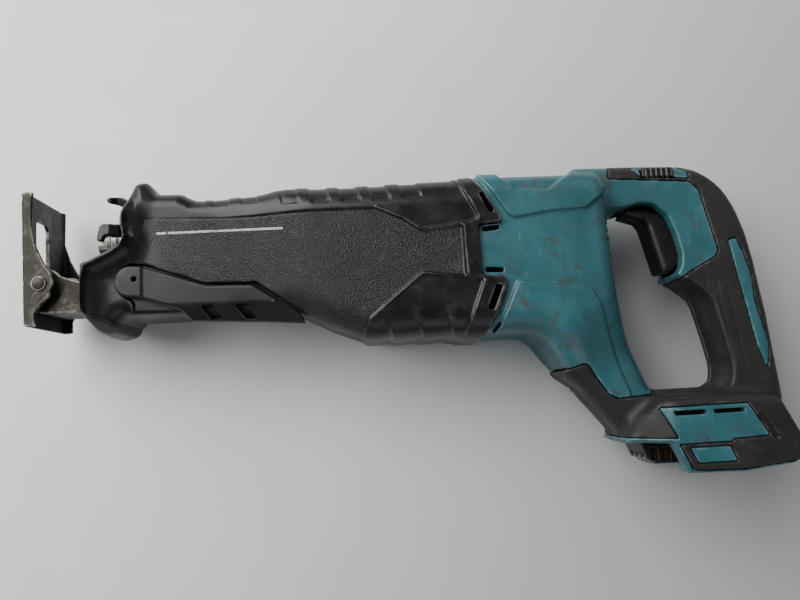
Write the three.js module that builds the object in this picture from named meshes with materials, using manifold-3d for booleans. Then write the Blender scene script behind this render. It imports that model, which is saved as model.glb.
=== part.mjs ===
// A cordless reciprocating saw, without its blade and battery, lying on its right side.
// Units are millimetres. In the saw's own layout X runs back from the shoe along the stroke axis, Y points to
// the top of the saw and Z to its left side, and the parting plane of the two housing halves is Z = 0.
// The exported group is shifted so that the origin is the bottom centre of the bounding box, +Z up.
import * as THREE from "three";
import { mergeVertices } from "three/addons/utils/BufferGeometryUtils.js";
import Module from "manifold-3d";

const wasm = await Module();
wasm.setup();

// ---- Driving dimensions ----
const LENGTH = 438; // shoe face to the back of the grip
const TOP = 35; // above the stroke axis
const BOTTOM = -146; // battery rails, below the stroke axis
const HALF_WIDTH = 40; // gear case and battery foot
const NOSE_HALF = 30;
const RIM_HALF = 35; // rim at the front of the nose
const MOTOR_HALF = 39;
const STRUT_HALF = 24;
const HANDLE_HALF = 18;
const HANDLE_EDGE = 8; // rounding of the handle's edges
const EDGE_STEPS = [2, 1]; // facets of a rounded side edge, outside and inside
const SEGMENTS = 20; // facets of a round part
const SCREW_SEGMENTS = 10;

const GAP = 0.4; // between pieces that meet
const FIT = 0.1; // radial clearance of a shaft in its bore
const PARTING = 0.2; // half of the gap between two housing halves
const BOOT_WALL = 3;
const CASE_WALL = 3.5;
const RUBBER = 2.5; // overmould thickness
const HOUSING_WALL = 5.6; // outer surface to the cavity

const STROKE = 32;
const CRANK_RADIUS = STROKE / 2;
const CRANK_X = 216;
const CRANK_PIN_R = 4;
const CRANK_SHAFT_R = 8;
const CRANK_BEARING_R = 14;
const GEAR_FACE = [25.5, 30.5]; // inner and outer radius of the teeth
const GEAR_TEETH = 48;
const PINION_TEETH = 8;
const MOTOR_Y = -16; // motor axis, below the stroke axis
const ROTOR_REAR = 328.5; // end of the rotor's shaft
const ROTOR_SHAFT_R = 4;
const ROTOR_BEARING_R = 11;
const STATOR_X = [275, 309];
const STATOR_R = [16.2, 30];

const PLUNGER_R = 8;
const BARREL_BORE = 14; // bore that holds the plunger's bushings
const BARREL_X = [78, 172];
const MOUTH_R = 21.4; // opening the blade clamp moves in
const MOUTH_X = [20, 76];
const SLEEVE_X = [39, 56];
const SLEEVE_R = 12;
const TAB_HALF = 3.5; // the clamp's two finger tabs
const TAB_THICK = 4;

const SHOE_HALF = 23;
const ARM_HALF = 18;
const SHOE_PIVOT = [11, -27];
const SHOE_PIN_R = 3;
const LEVER_PIVOT = [64, -27.5];
const LEVER_PIN_R = 4;
const LEVER_Z = [22.7, 31];
const LEVER_PAD = 2.5; // the lever's thickness over its pin
const LEVER_HOLE_R = 1.3; // the small hole over the pin
const RECESS_FLOOR = 22.3; // the boot's surface under the lever
const LED_HALF = 7;

const TRIGGER_HALF = 10;
const CASE_REAR = 258;

// ---- Materials ----
const plastic = (color, roughness) => new THREE.MeshStandardMaterial({ color, roughness, metalness: 0 });
const metal = (color, roughness) => new THREE.MeshStandardMaterial({ color, roughness, metalness: 1 });
const TEAL = plastic(0x1f7f8c, 0.55);
const RUBBER_BLACK = plastic(0x1b1b1d, 0.75);
const BLACK = plastic(0x17171a, 0.5);
const LEVER_GREY = plastic(0x2b2c2f, 0.6);
const ALUMINIUM = metal(0xb4b7ba, 0.5);
const STEEL = metal(0x8f9193, 0.35);
const WORN_STEEL = metal(0x6f6a62, 0.5);
const BRONZE = metal(0xa07b45, 0.4);
const COPPER = metal(0xb4683a, 0.4);
const LAMINATION = metal(0x56585c, 0.6);
const POTTING = plastic(0x22352d, 0.6);
const LENS = plastic(0xe6edf2, 0.1);

// ---- Solids ----
// A closed three.js geometry as a manifold solid.
function solidOf(geometry) {
  const bare = geometry.index ? geometry.toNonIndexed() : geometry.clone();
  bare.deleteAttribute("normal");
  bare.deleteAttribute("uv");
  const merged = mergeVertices(bare, 1e-4);
  const mesh = new wasm.Mesh({
    numProp: 3,
    vertProperties: merged.attributes.position.array,
    triVerts: new Uint32Array(merged.index.array),
  });
  return new wasm.Manifold(mesh);
}

function geometryOf(solid) {
  const mesh = solid.getMesh();
  const geometry = new THREE.BufferGeometry();
  geometry.setAttribute("position", new THREE.BufferAttribute(mesh.vertProperties, 3));
  geometry.setIndex(new THREE.BufferAttribute(mesh.triVerts, 1));
  geometry.computeVertexNormals();
  return geometry;
}

const join = (...solids) => solids.reduce((all, one) => all.add(one));

function box(x0, x1, y0, y1, z0, z1) {
  const geometry = new THREE.BoxGeometry(x1 - x0, y1 - y0, z1 - z0);
  return solidOf(geometry.translate((x0 + x1) / 2, (y0 + y1) / 2, (z0 + z1) / 2));
}

// The points of a polygon whose corners are [x, y, radius], with each corner rounded by an arc.
function outline(corners, step = Math.PI / 5) {
  const points = [];
  corners.forEach(([x, y, r = 0], i) => {
    const [px, py] = corners[(i + corners.length - 1) % corners.length];
    const [nx, ny] = corners[(i + 1) % corners.length];
    const corner = new THREE.Vector2(x, y);
    const a = new THREE.Vector2(px - x, py - y).normalize();
    const b = new THREE.Vector2(nx - x, ny - y).normalize();
    const turn = Math.PI - Math.acos(THREE.MathUtils.clamp(a.dot(b), -1, 1));
    if (r === 0 || turn < 0.02) {
      points.push(corner);
      return;
    }
    const start = corner.clone().addScaledVector(a, r * Math.tan(turn / 2));
    const centre = corner.clone().addScaledVector(a.clone().add(b).normalize(), r / Math.cos(turn / 2));
    const side = Math.sign(b.cross(a));
    const steps = Math.max(1, Math.round(turn / step));
    for (let k = 0; k <= steps; k++) points.push(start.clone().rotateAround(centre, (side * turn * k) / steps));
  });
  return points;
}

// The corners of a counterclockwise polygon moved inwards by d, with their radii changed to suit.
function inset(corners, d) {
  const count = corners.length;
  return corners.map(([x, y, r = 0], i) => {
    const [px, py] = corners[(i + count - 1) % count];
    const [nx, ny] = corners[(i + 1) % count];
    const a = new THREE.Vector2(x - px, y - py).normalize();
    const b = new THREE.Vector2(nx - x, ny - y).normalize();
    const normal = new THREE.Vector2(-a.y - b.y, a.x + b.x);
    const reach = (2 * d) / normal.lengthSq();
    const radius = r === 0 ? 0 : Math.max(a.cross(b) > 0 ? r - d : r + d, 0.3);
    return [x + normal.x * reach, y + normal.y * reach, radius];
  });
}

// A closed solid through layers of one outline; each layer is [inset, z], from the lowest z up.
function loft(corners, layers) {
  const rings = layers.map(([d]) => outline(inset(corners, d)));
  const count = rings[0].length;
  const positions = rings.flatMap((ring, k) => ring.flatMap((p) => [p.x, p.y, layers[k][1]]));
  const index = [];
  for (let k = 0; k < rings.length - 1; k++) {
    for (let i = 0; i < count; i++) {
      const [a, b] = [k * count + i, k * count + ((i + 1) % count)];
      index.push(a, b, b + count, a, b + count, a + count);
    }
  }
  const top = (rings.length - 1) * count;
  THREE.ShapeUtils.triangulateShape(rings[0], []).forEach(([a, b, c]) => index.push(a, c, b));
  THREE.ShapeUtils.triangulateShape(rings.at(-1), []).forEach(([a, b, c]) => index.push(top + a, top + b, top + c));
  const geometry = new THREE.BufferGeometry();
  geometry.setAttribute("position", new THREE.Float32BufferAttribute(positions, 3));
  geometry.setIndex(index);
  return solidOf(geometry);
}

const prism = (corners, z0, z1) => loft(corners, [[0, z0], [0, z1]]);

// The [inset, z] layers of a side edge rounded by a radius; flare -1 widens towards the faces instead.
function roundedLayers(half, radius, steps, flare = 1) {
  const layers = [];
  for (let k = 0; k <= steps; k++) {
    const t = (k / steps) * (Math.PI / 2);
    layers.push([flare * radius * (1 - Math.cos(t)), half - radius + radius * Math.sin(t)]);
  }
  return [...layers.map(([d, z]) => [d, -z]).reverse(), ...layers];
}

// An outline extruded to both sides of Z = 0 with rounded side edges.
const pillow = (corners, half, radius, steps = EDGE_STEPS[0]) =>
  loft(corners, roundedLayers(half, radius, steps));

// A solid of revolution about Y; profile is [radius, y] pairs, counterclockwise.
function lathe(profile, segments = SEGMENTS) {
  return solidOf(new THREE.LatheGeometry(profile.map(([r, y]) => new THREE.Vector2(r, y)), segments));
}

const rod = (r, a, b, segments) => lathe([[0, a], [r, a], [r, b], [0, b]], segments);
const ring = (inner, outer, a, b) => lathe([[inner, a], [outer, a], [outer, b], [inner, b], [inner, a]]);

// The same about X through (y, z), and about Z through (x, y).
const onX = (solid, y = 0, z = 0) => solid.rotate([0, 0, -90]).translate([0, y, z]);
const onZ = (solid, x, y) => solid.rotate([90, 0, 0]).translate([x, y, 0]);
const onY = (solid, x, z = 0) => solid.translate([x, 0, z]);

// ---- The scene graph ----
const saw = new THREE.Group();
saw.position.set(-LENGTH / 2, -(TOP + BOTTOM) / 2, HALF_WIDTH);

function part(name, solid, material) {
  const mesh = new THREE.Mesh(geometryOf(solid), material.clone());
  mesh.name = name;
  saw.add(mesh);
}

// ---- Outer shapes ----
const noseOutline = [
  [60, -47.4, 8], [176, -47.4, 10], [176, 23, 10], [150, 23, 10], [139, 19.4, 10], [98, 19.4, 10],
  [88, 24, 10], [70, 24.8, 6], [61.5, 22, 4], [57, -9, 6], [37, -19.5, 4], [37, -41, 8], [42, -50, 6],
  [52, -58, 5],
];
const gearOutline = [
  [146, -39, 14], [166, -51, 20], [190, -66, 26], [300, -66.6, 12], [300, 26.6, 12], [150, 22.7, 14],
];
// The front of the nose, where the boot has a wider rim.
const rimRegion = [
  [20, -70], [60, -70], [64, -60], [50, -50], [45, -40], [45, -25], [66, -13], [67, 14], [76, 40], [20, 40],
];
// Where the shoe-lock lever lies and swings over the nose's left side.
const leverRecess = [
  [46, -64], [162, -64], [160.5, -49], [133, -31], [104, -29.5], [70, -17], [58, -15], [46, -21],
];
// Everything in front of the stepped seam belongs to the boot.
const bootRegion = [
  [10, -90], [256, -90], [262, -69], [270, -59, 3], [274.5, -38, 1.5], [274, -35, 1], [260.3, -33.6],
  [260, -5.4], [275, -3.6, 1.5], [276, 3.5, 3], [262, 34], [256, 60], [10, 60],
];
const motorOutline = [
  [230, -65, 13], [287, -65, 30], [305, -84, 20], [328, -84, 12], [337.5, -48, 40], [336.4, 18, 12],
  [326, 26.4, 13], [230, 26.6, 13],
];
const strutOutline = [
  [290, -60, 9], [304, -88, 40], [336, -127, 9], [346, -131, 9], [372, -131, 9], [362, -102, 9],
  [346, -72, 50], [338, -47, 30], [337, -30, 9], [300, -30, 9],
];
const handleOutline = [
  [322, -108, 9], [345, -130, 9], [433, -130, 9], [438, -107, 14], [429, -22, 90], [413, 31, 36],
  [384, 34.4, 30], [324, TOP, 9], [311, 18, 9],
];
const gripOpening = [
  [328, 8, 4], [328, -84, 4], [357, -101, 9], [406.5, -101, 12], [402.5, -76, 60], [397.5, -44, 12],
  [384, -32, 5], [385, -20, 20], [377, 9, 6],
];
const footOutline = [
  [360, -130.6, 4], [366, BOTTOM, 6], [426, BOTTOM, 8], [434, -124, 10], [424, -104, 12], [352, -104, 8],
  [338, -130.6, 4],
];
// Where rubber covers the housing: the top bridge, the grip, the foot and the strut's underside.
const rubberRegion = [
  [290, -94], [290, -200], [500, -200], [500, 60], [324, 60], [324, 38], [338, 31], [341.5, 24],
  [392.7, 21], [396, 18], [398.2, 5], [404.6, -22], [402, -25], [388, -30.6], [372, -39], [372, -95],
  [357.5, -101.5], [354.6, -104.3], [337.2, -104.5], [332.7, -102.7], [318.4, -84.6], [313.6, -85],
  [301.7, -88.7],
];
const footPanel = [[364.2, -129.4], [413.1, -127.9], [402.5, -109.2], [354.7, -110.6]];
const leverOutline = [
  [53, -27.5, 6], [57, -35, 6], [68, -38.5, 8], [89.5, -45, 3], [95.8, -51.7, 4], [159.6, -54.6, 2],
  [157.5, -49.6, 3], [131, -32.4, 8], [105, -31.9, 8], [70.1, -20.5, 6], [59, -19, 6],
];

// How many facets the rounded edges of a surface d inside the outer one have.
const edgeSteps = (d) => EDGE_STEPS[d < BOOT_WALL ? 0 : 1];

const rounded = (corners, half, radius, d) =>
  pillow(inset(corners, d), half - d, Math.max(radius - d, 1), edgeSteps(d));

// The gear case widens from the nose's width at FLARE_X[0] to its own at FLARE_X[1].
const FLARE_X = [116, 172];
const flareAngle = Math.atan2(HALF_WIDTH - NOSE_HALF, FLARE_X[1] - FLARE_X[0]);
const FLARE_SINE = Math.sin(flareAngle);
const FLARE_COSINE = Math.cos(flareAngle);
const FLARE_OFFSET = FLARE_SINE * FLARE_X[0] - FLARE_COSINE * NOSE_HALF;

function bootBody(d) {
  const gearBox = [1, -1].reduce(
    (solid, side) => solid.trimByPlane([FLARE_SINE, 0, -side * FLARE_COSINE], FLARE_OFFSET + d),
    rounded(gearOutline, HALF_WIDTH, 11, d),
  );
  const body = join(rounded(noseOutline, NOSE_HALF, 9, d), gearBox);
  return body.subtract(prism(inset(leverRecess, -d), RECESS_FLOOR - d, HALF_WIDTH + 1));
}

function housingBody(d) {
  const opening = loft(inset(gripOpening, -d), [
    [-HANDLE_EDGE, -HANDLE_HALF - 1],
    ...roundedLayers(HANDLE_HALF - d, Math.max(HANDLE_EDGE - d, 1), edgeSteps(d), -1),
    [-HANDLE_EDGE, HANDLE_HALF + 1],
  ]);
  return join(
    rounded(handleOutline, HANDLE_HALF, HANDLE_EDGE, d).subtract(opening),
    rounded(motorOutline, MOTOR_HALF, 11, d),
    rounded(strutOutline, STRUT_HALF, 8, d),
    rounded(footOutline, HALF_WIDTH, 3.5, d),
  );
}

const above = (solid, z) => solid.trimByPlane([0, 0, 1], z);
const below = (solid, z) => solid.trimByPlane([0, 0, -1], -z);

// ---- Screws along Z, with their heads towards the right side: [x, y, z of the seat] ----
const SCREW_R = 2;
const SCREW_HEAD_R = 3.6;
const SCREW_END = 12;
const caseScrews = [[178, 14, -16], [242, 16, -16], [242, -56, -16], [150, -37, -16]];
const housingScrews = [
  [317, 17, -26], [285, -55, -26], [350, 27, -9], [396, 24, -9], [428, -100, -9], [352, -118, -12],
  [320, -98, -12],
];

const screw = ([x, y, seat]) =>
  onZ(
    lathe([
      [0, seat - 3.5], [SCREW_HEAD_R, seat - 3.5], [SCREW_HEAD_R, seat], [SCREW_R, seat],
      [SCREW_R, SCREW_END], [0, SCREW_END],
    ], SCREW_SEGMENTS),
    x,
    y,
  );

const screwRod = (r, a, b) => rod(r, a, b, SCREW_SEGMENTS);
const screwBosses = (screws) => join(...screws.map(([x, y]) => onZ(screwRod(5, -HALF_WIDTH, HALF_WIDTH), x, y)));

const screwHoles = (screws) =>
  join(
    ...screws.flatMap(([x, y, seat]) => [
      onZ(screwRod(SCREW_R + 0.2, -50, SCREW_END + GAP), x, y),
      onZ(screwRod(SCREW_HEAD_R + GAP, -50, seat + GAP), x, y),
    ]),
  );

// ---- Boot and gear case ----
const CASE_SKIN = BOOT_WALL + GAP;
const ledPocket = [[43, -52.5], [47, -56.5], [55, -50], [51, -46]];
const SHOE_SLOT_TOP = -22.6;
const shoeSlot = join(
  box(20, 114, -43.5, -25.5, -ARM_HALF - GAP, ARM_HALF + GAP),
  box(20, 46, -43.5, SHOE_SLOT_TOP, -ARM_HALF - GAP, ARM_HALF + GAP),
);
const mouth = onX(rod(MOUTH_R, ...MOUTH_X));
const ledHole = prism(inset(ledPocket, -GAP), -LED_HALF - GAP, LED_HALF + GAP);
const leverPinHole = onZ(rod(LEVER_PIN_R + FIT, ARM_HALF, HALF_WIDTH), ...LEVER_PIVOT);

function insulationBoot() {
  const rim = pillow(noseOutline, RIM_HALF, 5).intersect(prism(rimRegion, -HALF_WIDTH, HALF_WIDTH));
  return join(bootBody(0), rim.subtract(prism(leverRecess, RECESS_FLOOR, HALF_WIDTH)))
    .intersect(prism(bootRegion, -HALF_WIDTH - 1, HALF_WIDTH + 1))
    .subtract(join(bootBody(BOOT_WALL), mouth, shoeSlot, ledHole, leverPinHole));
}

// An aluminium shell with a barrel, a channel for the shoe's arm and a tower for the crank's bearings.
function gearCase() {
  const outer = bootBody(CASE_SKIN).intersect(box(20, CASE_REAR, -90, 60, -60, 60));
  const hollow = bootBody(CASE_SKIN + CASE_WALL).intersect(box(20, CASE_REAR - 8, -90, 60, -60, 60));
  const inside = join(
    onX(rod(BARREL_BORE + 3, ...BARREL_X)),
    box(MOUTH_X[1], MOUTH_X[1] + CASE_WALL, -50, TOP, -NOSE_HALF, NOSE_HALF),
    box(30, 117, -46.5, -22.5, -ARM_HALF - 3.5, ARM_HALF + 3.5),
    onY(rod(CRANK_BEARING_R + 4, -66, -33), CRANK_X),
    screwBosses(caseScrews),
  );
  return join(outer.subtract(hollow), inside.intersect(outer)).subtract(
    join(
      onX(rod(BARREL_BORE, MOUTH_X[1] - 1, BARREL_X[1] + 3)),
      box(...MOUTH_X, SHOE_SLOT_TOP, TOP, -HALF_WIDTH, HALF_WIDTH),
      mouth,
      shoeSlot,
      onY(rod(CRANK_BEARING_R + FIT, -60.6, -30), CRANK_X),
      onX(rod(ROTOR_BEARING_R + FIT, CASE_REAR - 7, CASE_REAR + 1), MOTOR_Y),
      onX(rod(ROTOR_SHAFT_R + 4, CASE_REAR - 10, CASE_REAR), MOTOR_Y),
      leverPinHole,
      ledHole,
      screwHoles(caseScrews),
    ),
  );
}

function addGearCase() {
  const whole = gearCase();
  part("insulation_boot", insulationBoot(), RUBBER_BLACK);
  part("gear_case_left", above(whole, PARTING), ALUMINIUM);
  part("gear_case_right", below(whole, -PARTING), ALUMINIUM);
  caseScrews.forEach((place, i) => part(`case_screw_${i + 1}`, screw(place), STEEL));
  part("led_lens", prism(ledPocket, -LED_HALF, LED_HALF), LENS);
}

// ---- Shoe ----
const shoeOutline = [
  [4.3, -51, 1.5], [9, -51, 1.5], [8.8, -43, 3], [17, -34, 4], [19, -27, 5], [16, -19, 5], [8.5, -5, 8],
  [5.8, 9, 20], [6, 26.5, 2], [0, 26.5, 2],
];
const armOutline = [
  [9, -43, 2], [100, -43, 2], [100, -26, 2], [34, -26, 3], [22, -23, 4], [15, -21, 4], [7, -22.5, 4],
  [6.3, -32, 4],
];

function addShoe() {
  const plateBack = [[7.4, -60], [40, -60], [40, 40], [1.85, 40]];
  const shoe = prism(shoeOutline, -SHOE_HALF, SHOE_HALF)
    .subtract(prism(plateBack, -SHOE_HALF + 2.5, SHOE_HALF - 2.5))
    .subtract(box(-10, 12, -12, 12.5, -4, 11))
    .subtract(onZ(rod(SHOE_PIN_R + FIT, -30, 30), ...SHOE_PIVOT));
  const arm = prism(armOutline, -ARM_HALF, ARM_HALF)
    .subtract(box(0, 120, -40.5, 0, -ARM_HALF + 2.5, ARM_HALF - 2.5))
    .subtract(onZ(rod(SHOE_PIN_R + FIT, -30, 30), ...SHOE_PIVOT));
  const head = SHOE_HALF + 0.3;
  const pin = lathe([
    [0, -head - 1.7], [4.5, -head - 1.7], [4.5, -head], [SHOE_PIN_R, -head], [SHOE_PIN_R, head], [4.5, head],
    [4.5, head + 1.7], [0, head + 1.7],
  ]);
  part("shoe", shoe, WORN_STEEL);
  part("shoe_arm", arm, WORN_STEEL);
  part("shoe_pivot_pin", onZ(pin, ...SHOE_PIVOT), STEEL);
}

function addShoeLock() {
  const [low, high] = LEVER_Z;
  const bore = join(rod(LEVER_PIN_R + FIT, 0, high - LEVER_PAD), rod(LEVER_HOLE_R, 0, HALF_WIDTH));
  const lever = prism(leverOutline, low, high).subtract(onZ(bore, ...LEVER_PIVOT));
  const pin = rod(LEVER_PIN_R, ARM_HALF + 1, high - LEVER_PAD - GAP);
  part("shoe_lock_lever", lever, LEVER_GREY);
  part("lever_pivot_pin", onZ(pin, ...LEVER_PIVOT), STEEL);
}

// ---- Stroke mechanism ----
function addPlunger() {
  const yoke = [CRANK_X - 9, CRANK_X + 9];
  const slot = CRANK_PIN_R + 0.2;
  const sleeveEnd = SLEEVE_X[1];
  const plunger = join(onX(rod(PLUNGER_R, SLEEVE_X[0] - 2, yoke[0] + 1)), box(...yoke, -PLUNGER_R, PLUNGER_R, -25, 25))
    .subtract(box(CRANK_X - slot, CRANK_X + slot, -10, 10, -CRANK_RADIUS - slot, CRANK_RADIUS + slot))
    .subtract(box(30, sleeveEnd - 1, -7, 7, -0.8, 0.8))
    .subtract(onZ(rod(2 + FIT, -10, 10), sleeveEnd - 6, 0));
  const tabTop = MOUTH_R - 1;
  const tab = join(
    box(sleeveEnd - 3.5, sleeveEnd, 9, tabTop, -TAB_HALF, TAB_HALF),
    box(SLEEVE_X[0] + 4, sleeveEnd, tabTop - TAB_THICK, tabTop, -TAB_HALF, TAB_HALF),
  );
  const sleeve = join(onX(rod(SLEEVE_R, ...SLEEVE_X)), tab, tab.rotate([90, 0, 0]));
  part("plunger", plunger, STEEL);
  part("clamp_sleeve", sleeve.subtract(onX(rod(PLUNGER_R + FIT, 30, 60))), WORN_STEEL);
  part("clamp_pin", onZ(rod(2, -7.2, 7.2), sleeveEnd - 6, 0), STEEL);
  part("clamp_collar", onX(ring(PLUNGER_R + FIT, 11, sleeveEnd + 0.5, sleeveEnd + 3)), STEEL);
}

function addBushings() {
  const bush = (from, to) => onX(ring(PLUNGER_R + FIT, BARREL_BORE - FIT, from, to));
  part("plunger_seal", bush(BARREL_X[0] + 1, BARREL_X[0] + 6), RUBBER_BLACK);
  part("front_plunger_bushing", bush(BARREL_X[0] + 8, BARREL_X[0] + 28), BRONZE);
  part("rear_plunger_bushing", bush(BARREL_X[1] - 22, BARREL_X[1] - 1), BRONZE);
}

function addCrank() {
  const [inner, outer] = GEAR_FACE;
  const body = lathe([
    [0, -60], [CRANK_SHAFT_R, -60], [CRANK_SHAFT_R, -31.5], [13, -31.5], [13, -28], [outer + 0.5, -28],
    [outer + 0.5, -21.8], [0, -21.8],
  ]);
  const tooth = box(inner, outer, -22, -19.5, -0.4, 0.4);
  const pitch = 360 / GEAR_TEETH;
  const teeth = Array.from({ length: GEAR_TEETH }, (_, i) => tooth.rotate([0, (i + 0.5) * pitch, 0]));
  const pin = onY(rod(CRANK_PIN_R, -22, -PLUNGER_R - 0.5), 0, CRANK_RADIUS);
  part("crank_gear", onY(join(body, pin, ...teeth), CRANK_X), STEEL);
  const bearing = (from, to) => onY(ring(CRANK_SHAFT_R + FIT, CRANK_BEARING_R, from, to), CRANK_X);
  part("upper_crank_bearing", bearing(-42, -34), STEEL);
  part("lower_crank_bearing", bearing(-58.5, -50.5), STEEL);
}

// ---- Motor ----
function addRotor() {
  const [inner, outer] = GEAR_FACE;
  const shaft = lathe([
    [0, CRANK_X + inner - 2], [3.2, CRANK_X + inner - 2], [3.2, CRANK_X + outer + 1.5],
    [ROTOR_SHAFT_R, CRANK_X + outer + 1.5], [ROTOR_SHAFT_R, ROTOR_REAR], [0, ROTOR_REAR],
  ]);
  const tooth = box(2.5, 5.6, CRANK_X + inner, CRANK_X + outer, -0.45, 0.45);
  const teeth = Array.from({ length: PINION_TEETH }, (_, i) => tooth.rotate([0, (i * 360) / PINION_TEETH, 0]));
  const blade = box(8.5, 25, 263, 271, -0.8, 0.8);
  const blades = Array.from({ length: 9 }, (_, i) => blade.rotate([0, i * 40, 0]));
  const hub = join(ring(ROTOR_SHAFT_R + FIT, 9.5, 262, 271), ring(ROTOR_SHAFT_R + FIT, 26, 262, 263.5));
  part("rotor_shaft", onX(join(shaft, ...teeth), MOTOR_Y), STEEL);
  const core = ring(ROTOR_SHAFT_R + FIT, STATOR_R[0] - 0.7, STATOR_X[0] + 1, STATOR_X[1] - 1);
  part("rotor_core", onX(core, MOTOR_Y), LAMINATION);
  part("cooling_fan", onX(join(hub, ...blades), MOTOR_Y), BLACK);
  const bearing = (from) => onX(ring(ROTOR_SHAFT_R + FIT, ROTOR_BEARING_R, from, from + 6), MOTOR_Y);
  part("front_rotor_bearing", bearing(CASE_REAR - 6.5), STEEL);
  part("rear_rotor_bearing", bearing(ROTOR_REAR - 7), STEEL);
}

function addStator() {
  const [front, rear] = STATOR_X;
  part("motor_stator", onX(ring(...STATOR_R, front, rear), MOTOR_Y), LAMINATION);
  part("front_winding", onX(ring(17.5, 26, front - 2.4, front - GAP), MOTOR_Y), COPPER);
  part("rear_winding", onX(ring(17.5, 26, rear + GAP, rear + 5), MOTOR_Y), COPPER);
  part("motor_sensor_board", onX(ring(7, 24, rear + 7, rear + 8.6), MOTOR_Y), POTTING);
}

// ---- Housing, overmould and handle ----
const triggerOutline = [
  [350.5, 4.5, 1.5], [360.5, 1, 2], [363.5, -2, 2], [370, -31.5, 2], [379, -31.5, 2], [391, -26, 1],
  [391, 2, 1], [368, 9.5, 2], [354, 9, 2],
];
const triggerSlot = [[349, 4], [361, 0], [363, -3], [369, -32.5], [398, -32.5], [398, 10.2], [353, 10.2]];

// Everything cut from the housing and its rubber: the boot, the trigger, the button and the battery.
function housingCuts() {
  return join(
    prism(inset(bootRegion, -GAP), -HALF_WIDTH - 1, HALF_WIDTH + 1),
    prism(triggerSlot, -TRIGGER_HALF - 0.5, TRIGGER_HALF + 0.5),
    box(362, 382, 24.6, 31.6, -HALF_WIDTH, HALF_WIDTH),
    box(345, 450, -142, -131, -31, 31),
    box(345, 450, -150, -141, -27, 27),
    screwHoles(housingScrews),
  );
}

// Ribs inside the housing that hold the stator and the rotor's rear bearing.
function motorRibs() {
  const rib = (x0, x1) => box(x0, x1, -80, 60, -60, 60);
  const bearingSeat = [ROTOR_REAR - 7.5, ROTOR_REAR + 1.5];
  return join(rib(278, 281), rib(303, 306))
    .subtract(onX(rod(STATOR_R[1] + 0.3, 270, 315), MOTOR_Y))
    .add(rib(ROTOR_REAR - 9, ROTOR_REAR + 1).subtract(onX(rod(ROTOR_BEARING_R + FIT, ...bearingSeat), MOTOR_Y)))
    .subtract(onX(rod(ROTOR_SHAFT_R + 2, ROTOR_REAR - 10, ROTOR_REAR + 1.5), MOTOR_Y));
}

function addHousing() {
  const outer = housingBody(0);
  const core = housingBody(RUBBER + 0.3);
  const cavity = housingBody(HOUSING_WALL).subtract(box(340, 450, -150, -128, -60, 60));
  const panel = (d) => prism(inset(footPanel, d), -HALF_WIDTH - 1, HALF_WIDTH + 1);
  const region = (d) => prism(inset(rubberRegion, d), -HALF_WIDTH - 1, HALF_WIDTH + 1).subtract(panel(-d));
  const cuts = housingCuts();
  const rubber = outer.intersect(region(0)).subtract(housingBody(RUBBER)).subtract(cuts);
  const ribs = join(motorRibs(), screwBosses(housingScrews)).intersect(core);
  const shell = join(core, outer.subtract(region(-0.3))).subtract(cavity).add(ribs).subtract(cuts);
  part("left_housing", above(shell, PARTING), TEAL);
  part("right_housing", below(shell, -PARTING), TEAL);
  part("left_overmould", above(rubber, PARTING), RUBBER_BLACK);
  part("right_overmould", below(rubber, -PARTING), RUBBER_BLACK);
  housingScrews.forEach((place, i) => part(`housing_screw_${i + 1}`, screw(place), STEEL));
}

function addControls() {
  part("trigger", prism(triggerOutline, -TRIGGER_HALF, TRIGGER_HALF), BLACK);
  part("switch_body", box(398, 410, -28, 2, -10, 10), BLACK);
  part("lock_off_button", box(362.5, 381.5, 25, 31.2, -HANDLE_HALF - 1, HANDLE_HALF + 1), BLACK);
  part("controller_module", box(368, 418, -126, -111, -28, 28), POTTING);
}

function addTerminals() {
  const places = { battery_terminal_plus: -9, battery_terminal_signal: 0, battery_terminal_minus: 9 };
  const slots = Object.values(places).map((z) => box(352, 380, -150, -133.5, z - 1.5, z + 1.5));
  part("battery_terminal_block", box(347, 375, -143, -131.4, -15, 15).subtract(join(...slots)), BLACK);
  for (const [name, z] of Object.entries(places)) {
    part(name, box(353, 374, -142.5, -134, z - 0.4, z + 0.4), COPPER);
  }
}

addGearCase();
addShoe();
addShoeLock();
addPlunger();
addBushings();
addCrank();
addRotor();
addStator();
addHousing();
addControls();
addTerminals();

export default saw;
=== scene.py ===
"""A worn cordless reciprocating saw on a pale floor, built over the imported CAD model.

Shapes are drawn in the saw's own layout in millimetres: X runs back from the shoe along the stroke axis,
Y points to the top of the saw and Z to its left side, with Z = 0 on the parting plane. place() takes them
to the row frame.
"""
import math

import bpy
import numpy as np
from mathutils import Matrix, Vector


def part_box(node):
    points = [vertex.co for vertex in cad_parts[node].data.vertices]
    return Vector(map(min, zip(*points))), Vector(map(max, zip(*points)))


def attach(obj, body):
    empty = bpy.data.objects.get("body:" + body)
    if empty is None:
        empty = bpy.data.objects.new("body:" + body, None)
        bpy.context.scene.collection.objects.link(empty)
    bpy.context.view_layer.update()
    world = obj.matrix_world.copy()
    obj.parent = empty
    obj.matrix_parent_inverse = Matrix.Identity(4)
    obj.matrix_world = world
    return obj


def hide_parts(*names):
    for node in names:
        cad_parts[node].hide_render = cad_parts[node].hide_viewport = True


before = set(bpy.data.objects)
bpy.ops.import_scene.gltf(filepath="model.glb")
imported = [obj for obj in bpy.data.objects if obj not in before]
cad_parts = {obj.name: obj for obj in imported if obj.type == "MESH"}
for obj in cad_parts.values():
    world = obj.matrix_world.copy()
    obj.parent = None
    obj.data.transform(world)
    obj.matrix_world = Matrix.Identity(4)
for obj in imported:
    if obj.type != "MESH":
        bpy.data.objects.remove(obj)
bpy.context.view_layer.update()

# ---- Layout taken from the CAD ----
MM = 0.001
FAN_FRONT, MOTOR_DROP = 262.0, 16.0  # the fan's front face and the motor axis below the stroke axis
fan_low, fan_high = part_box("cooling_fan")
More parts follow.
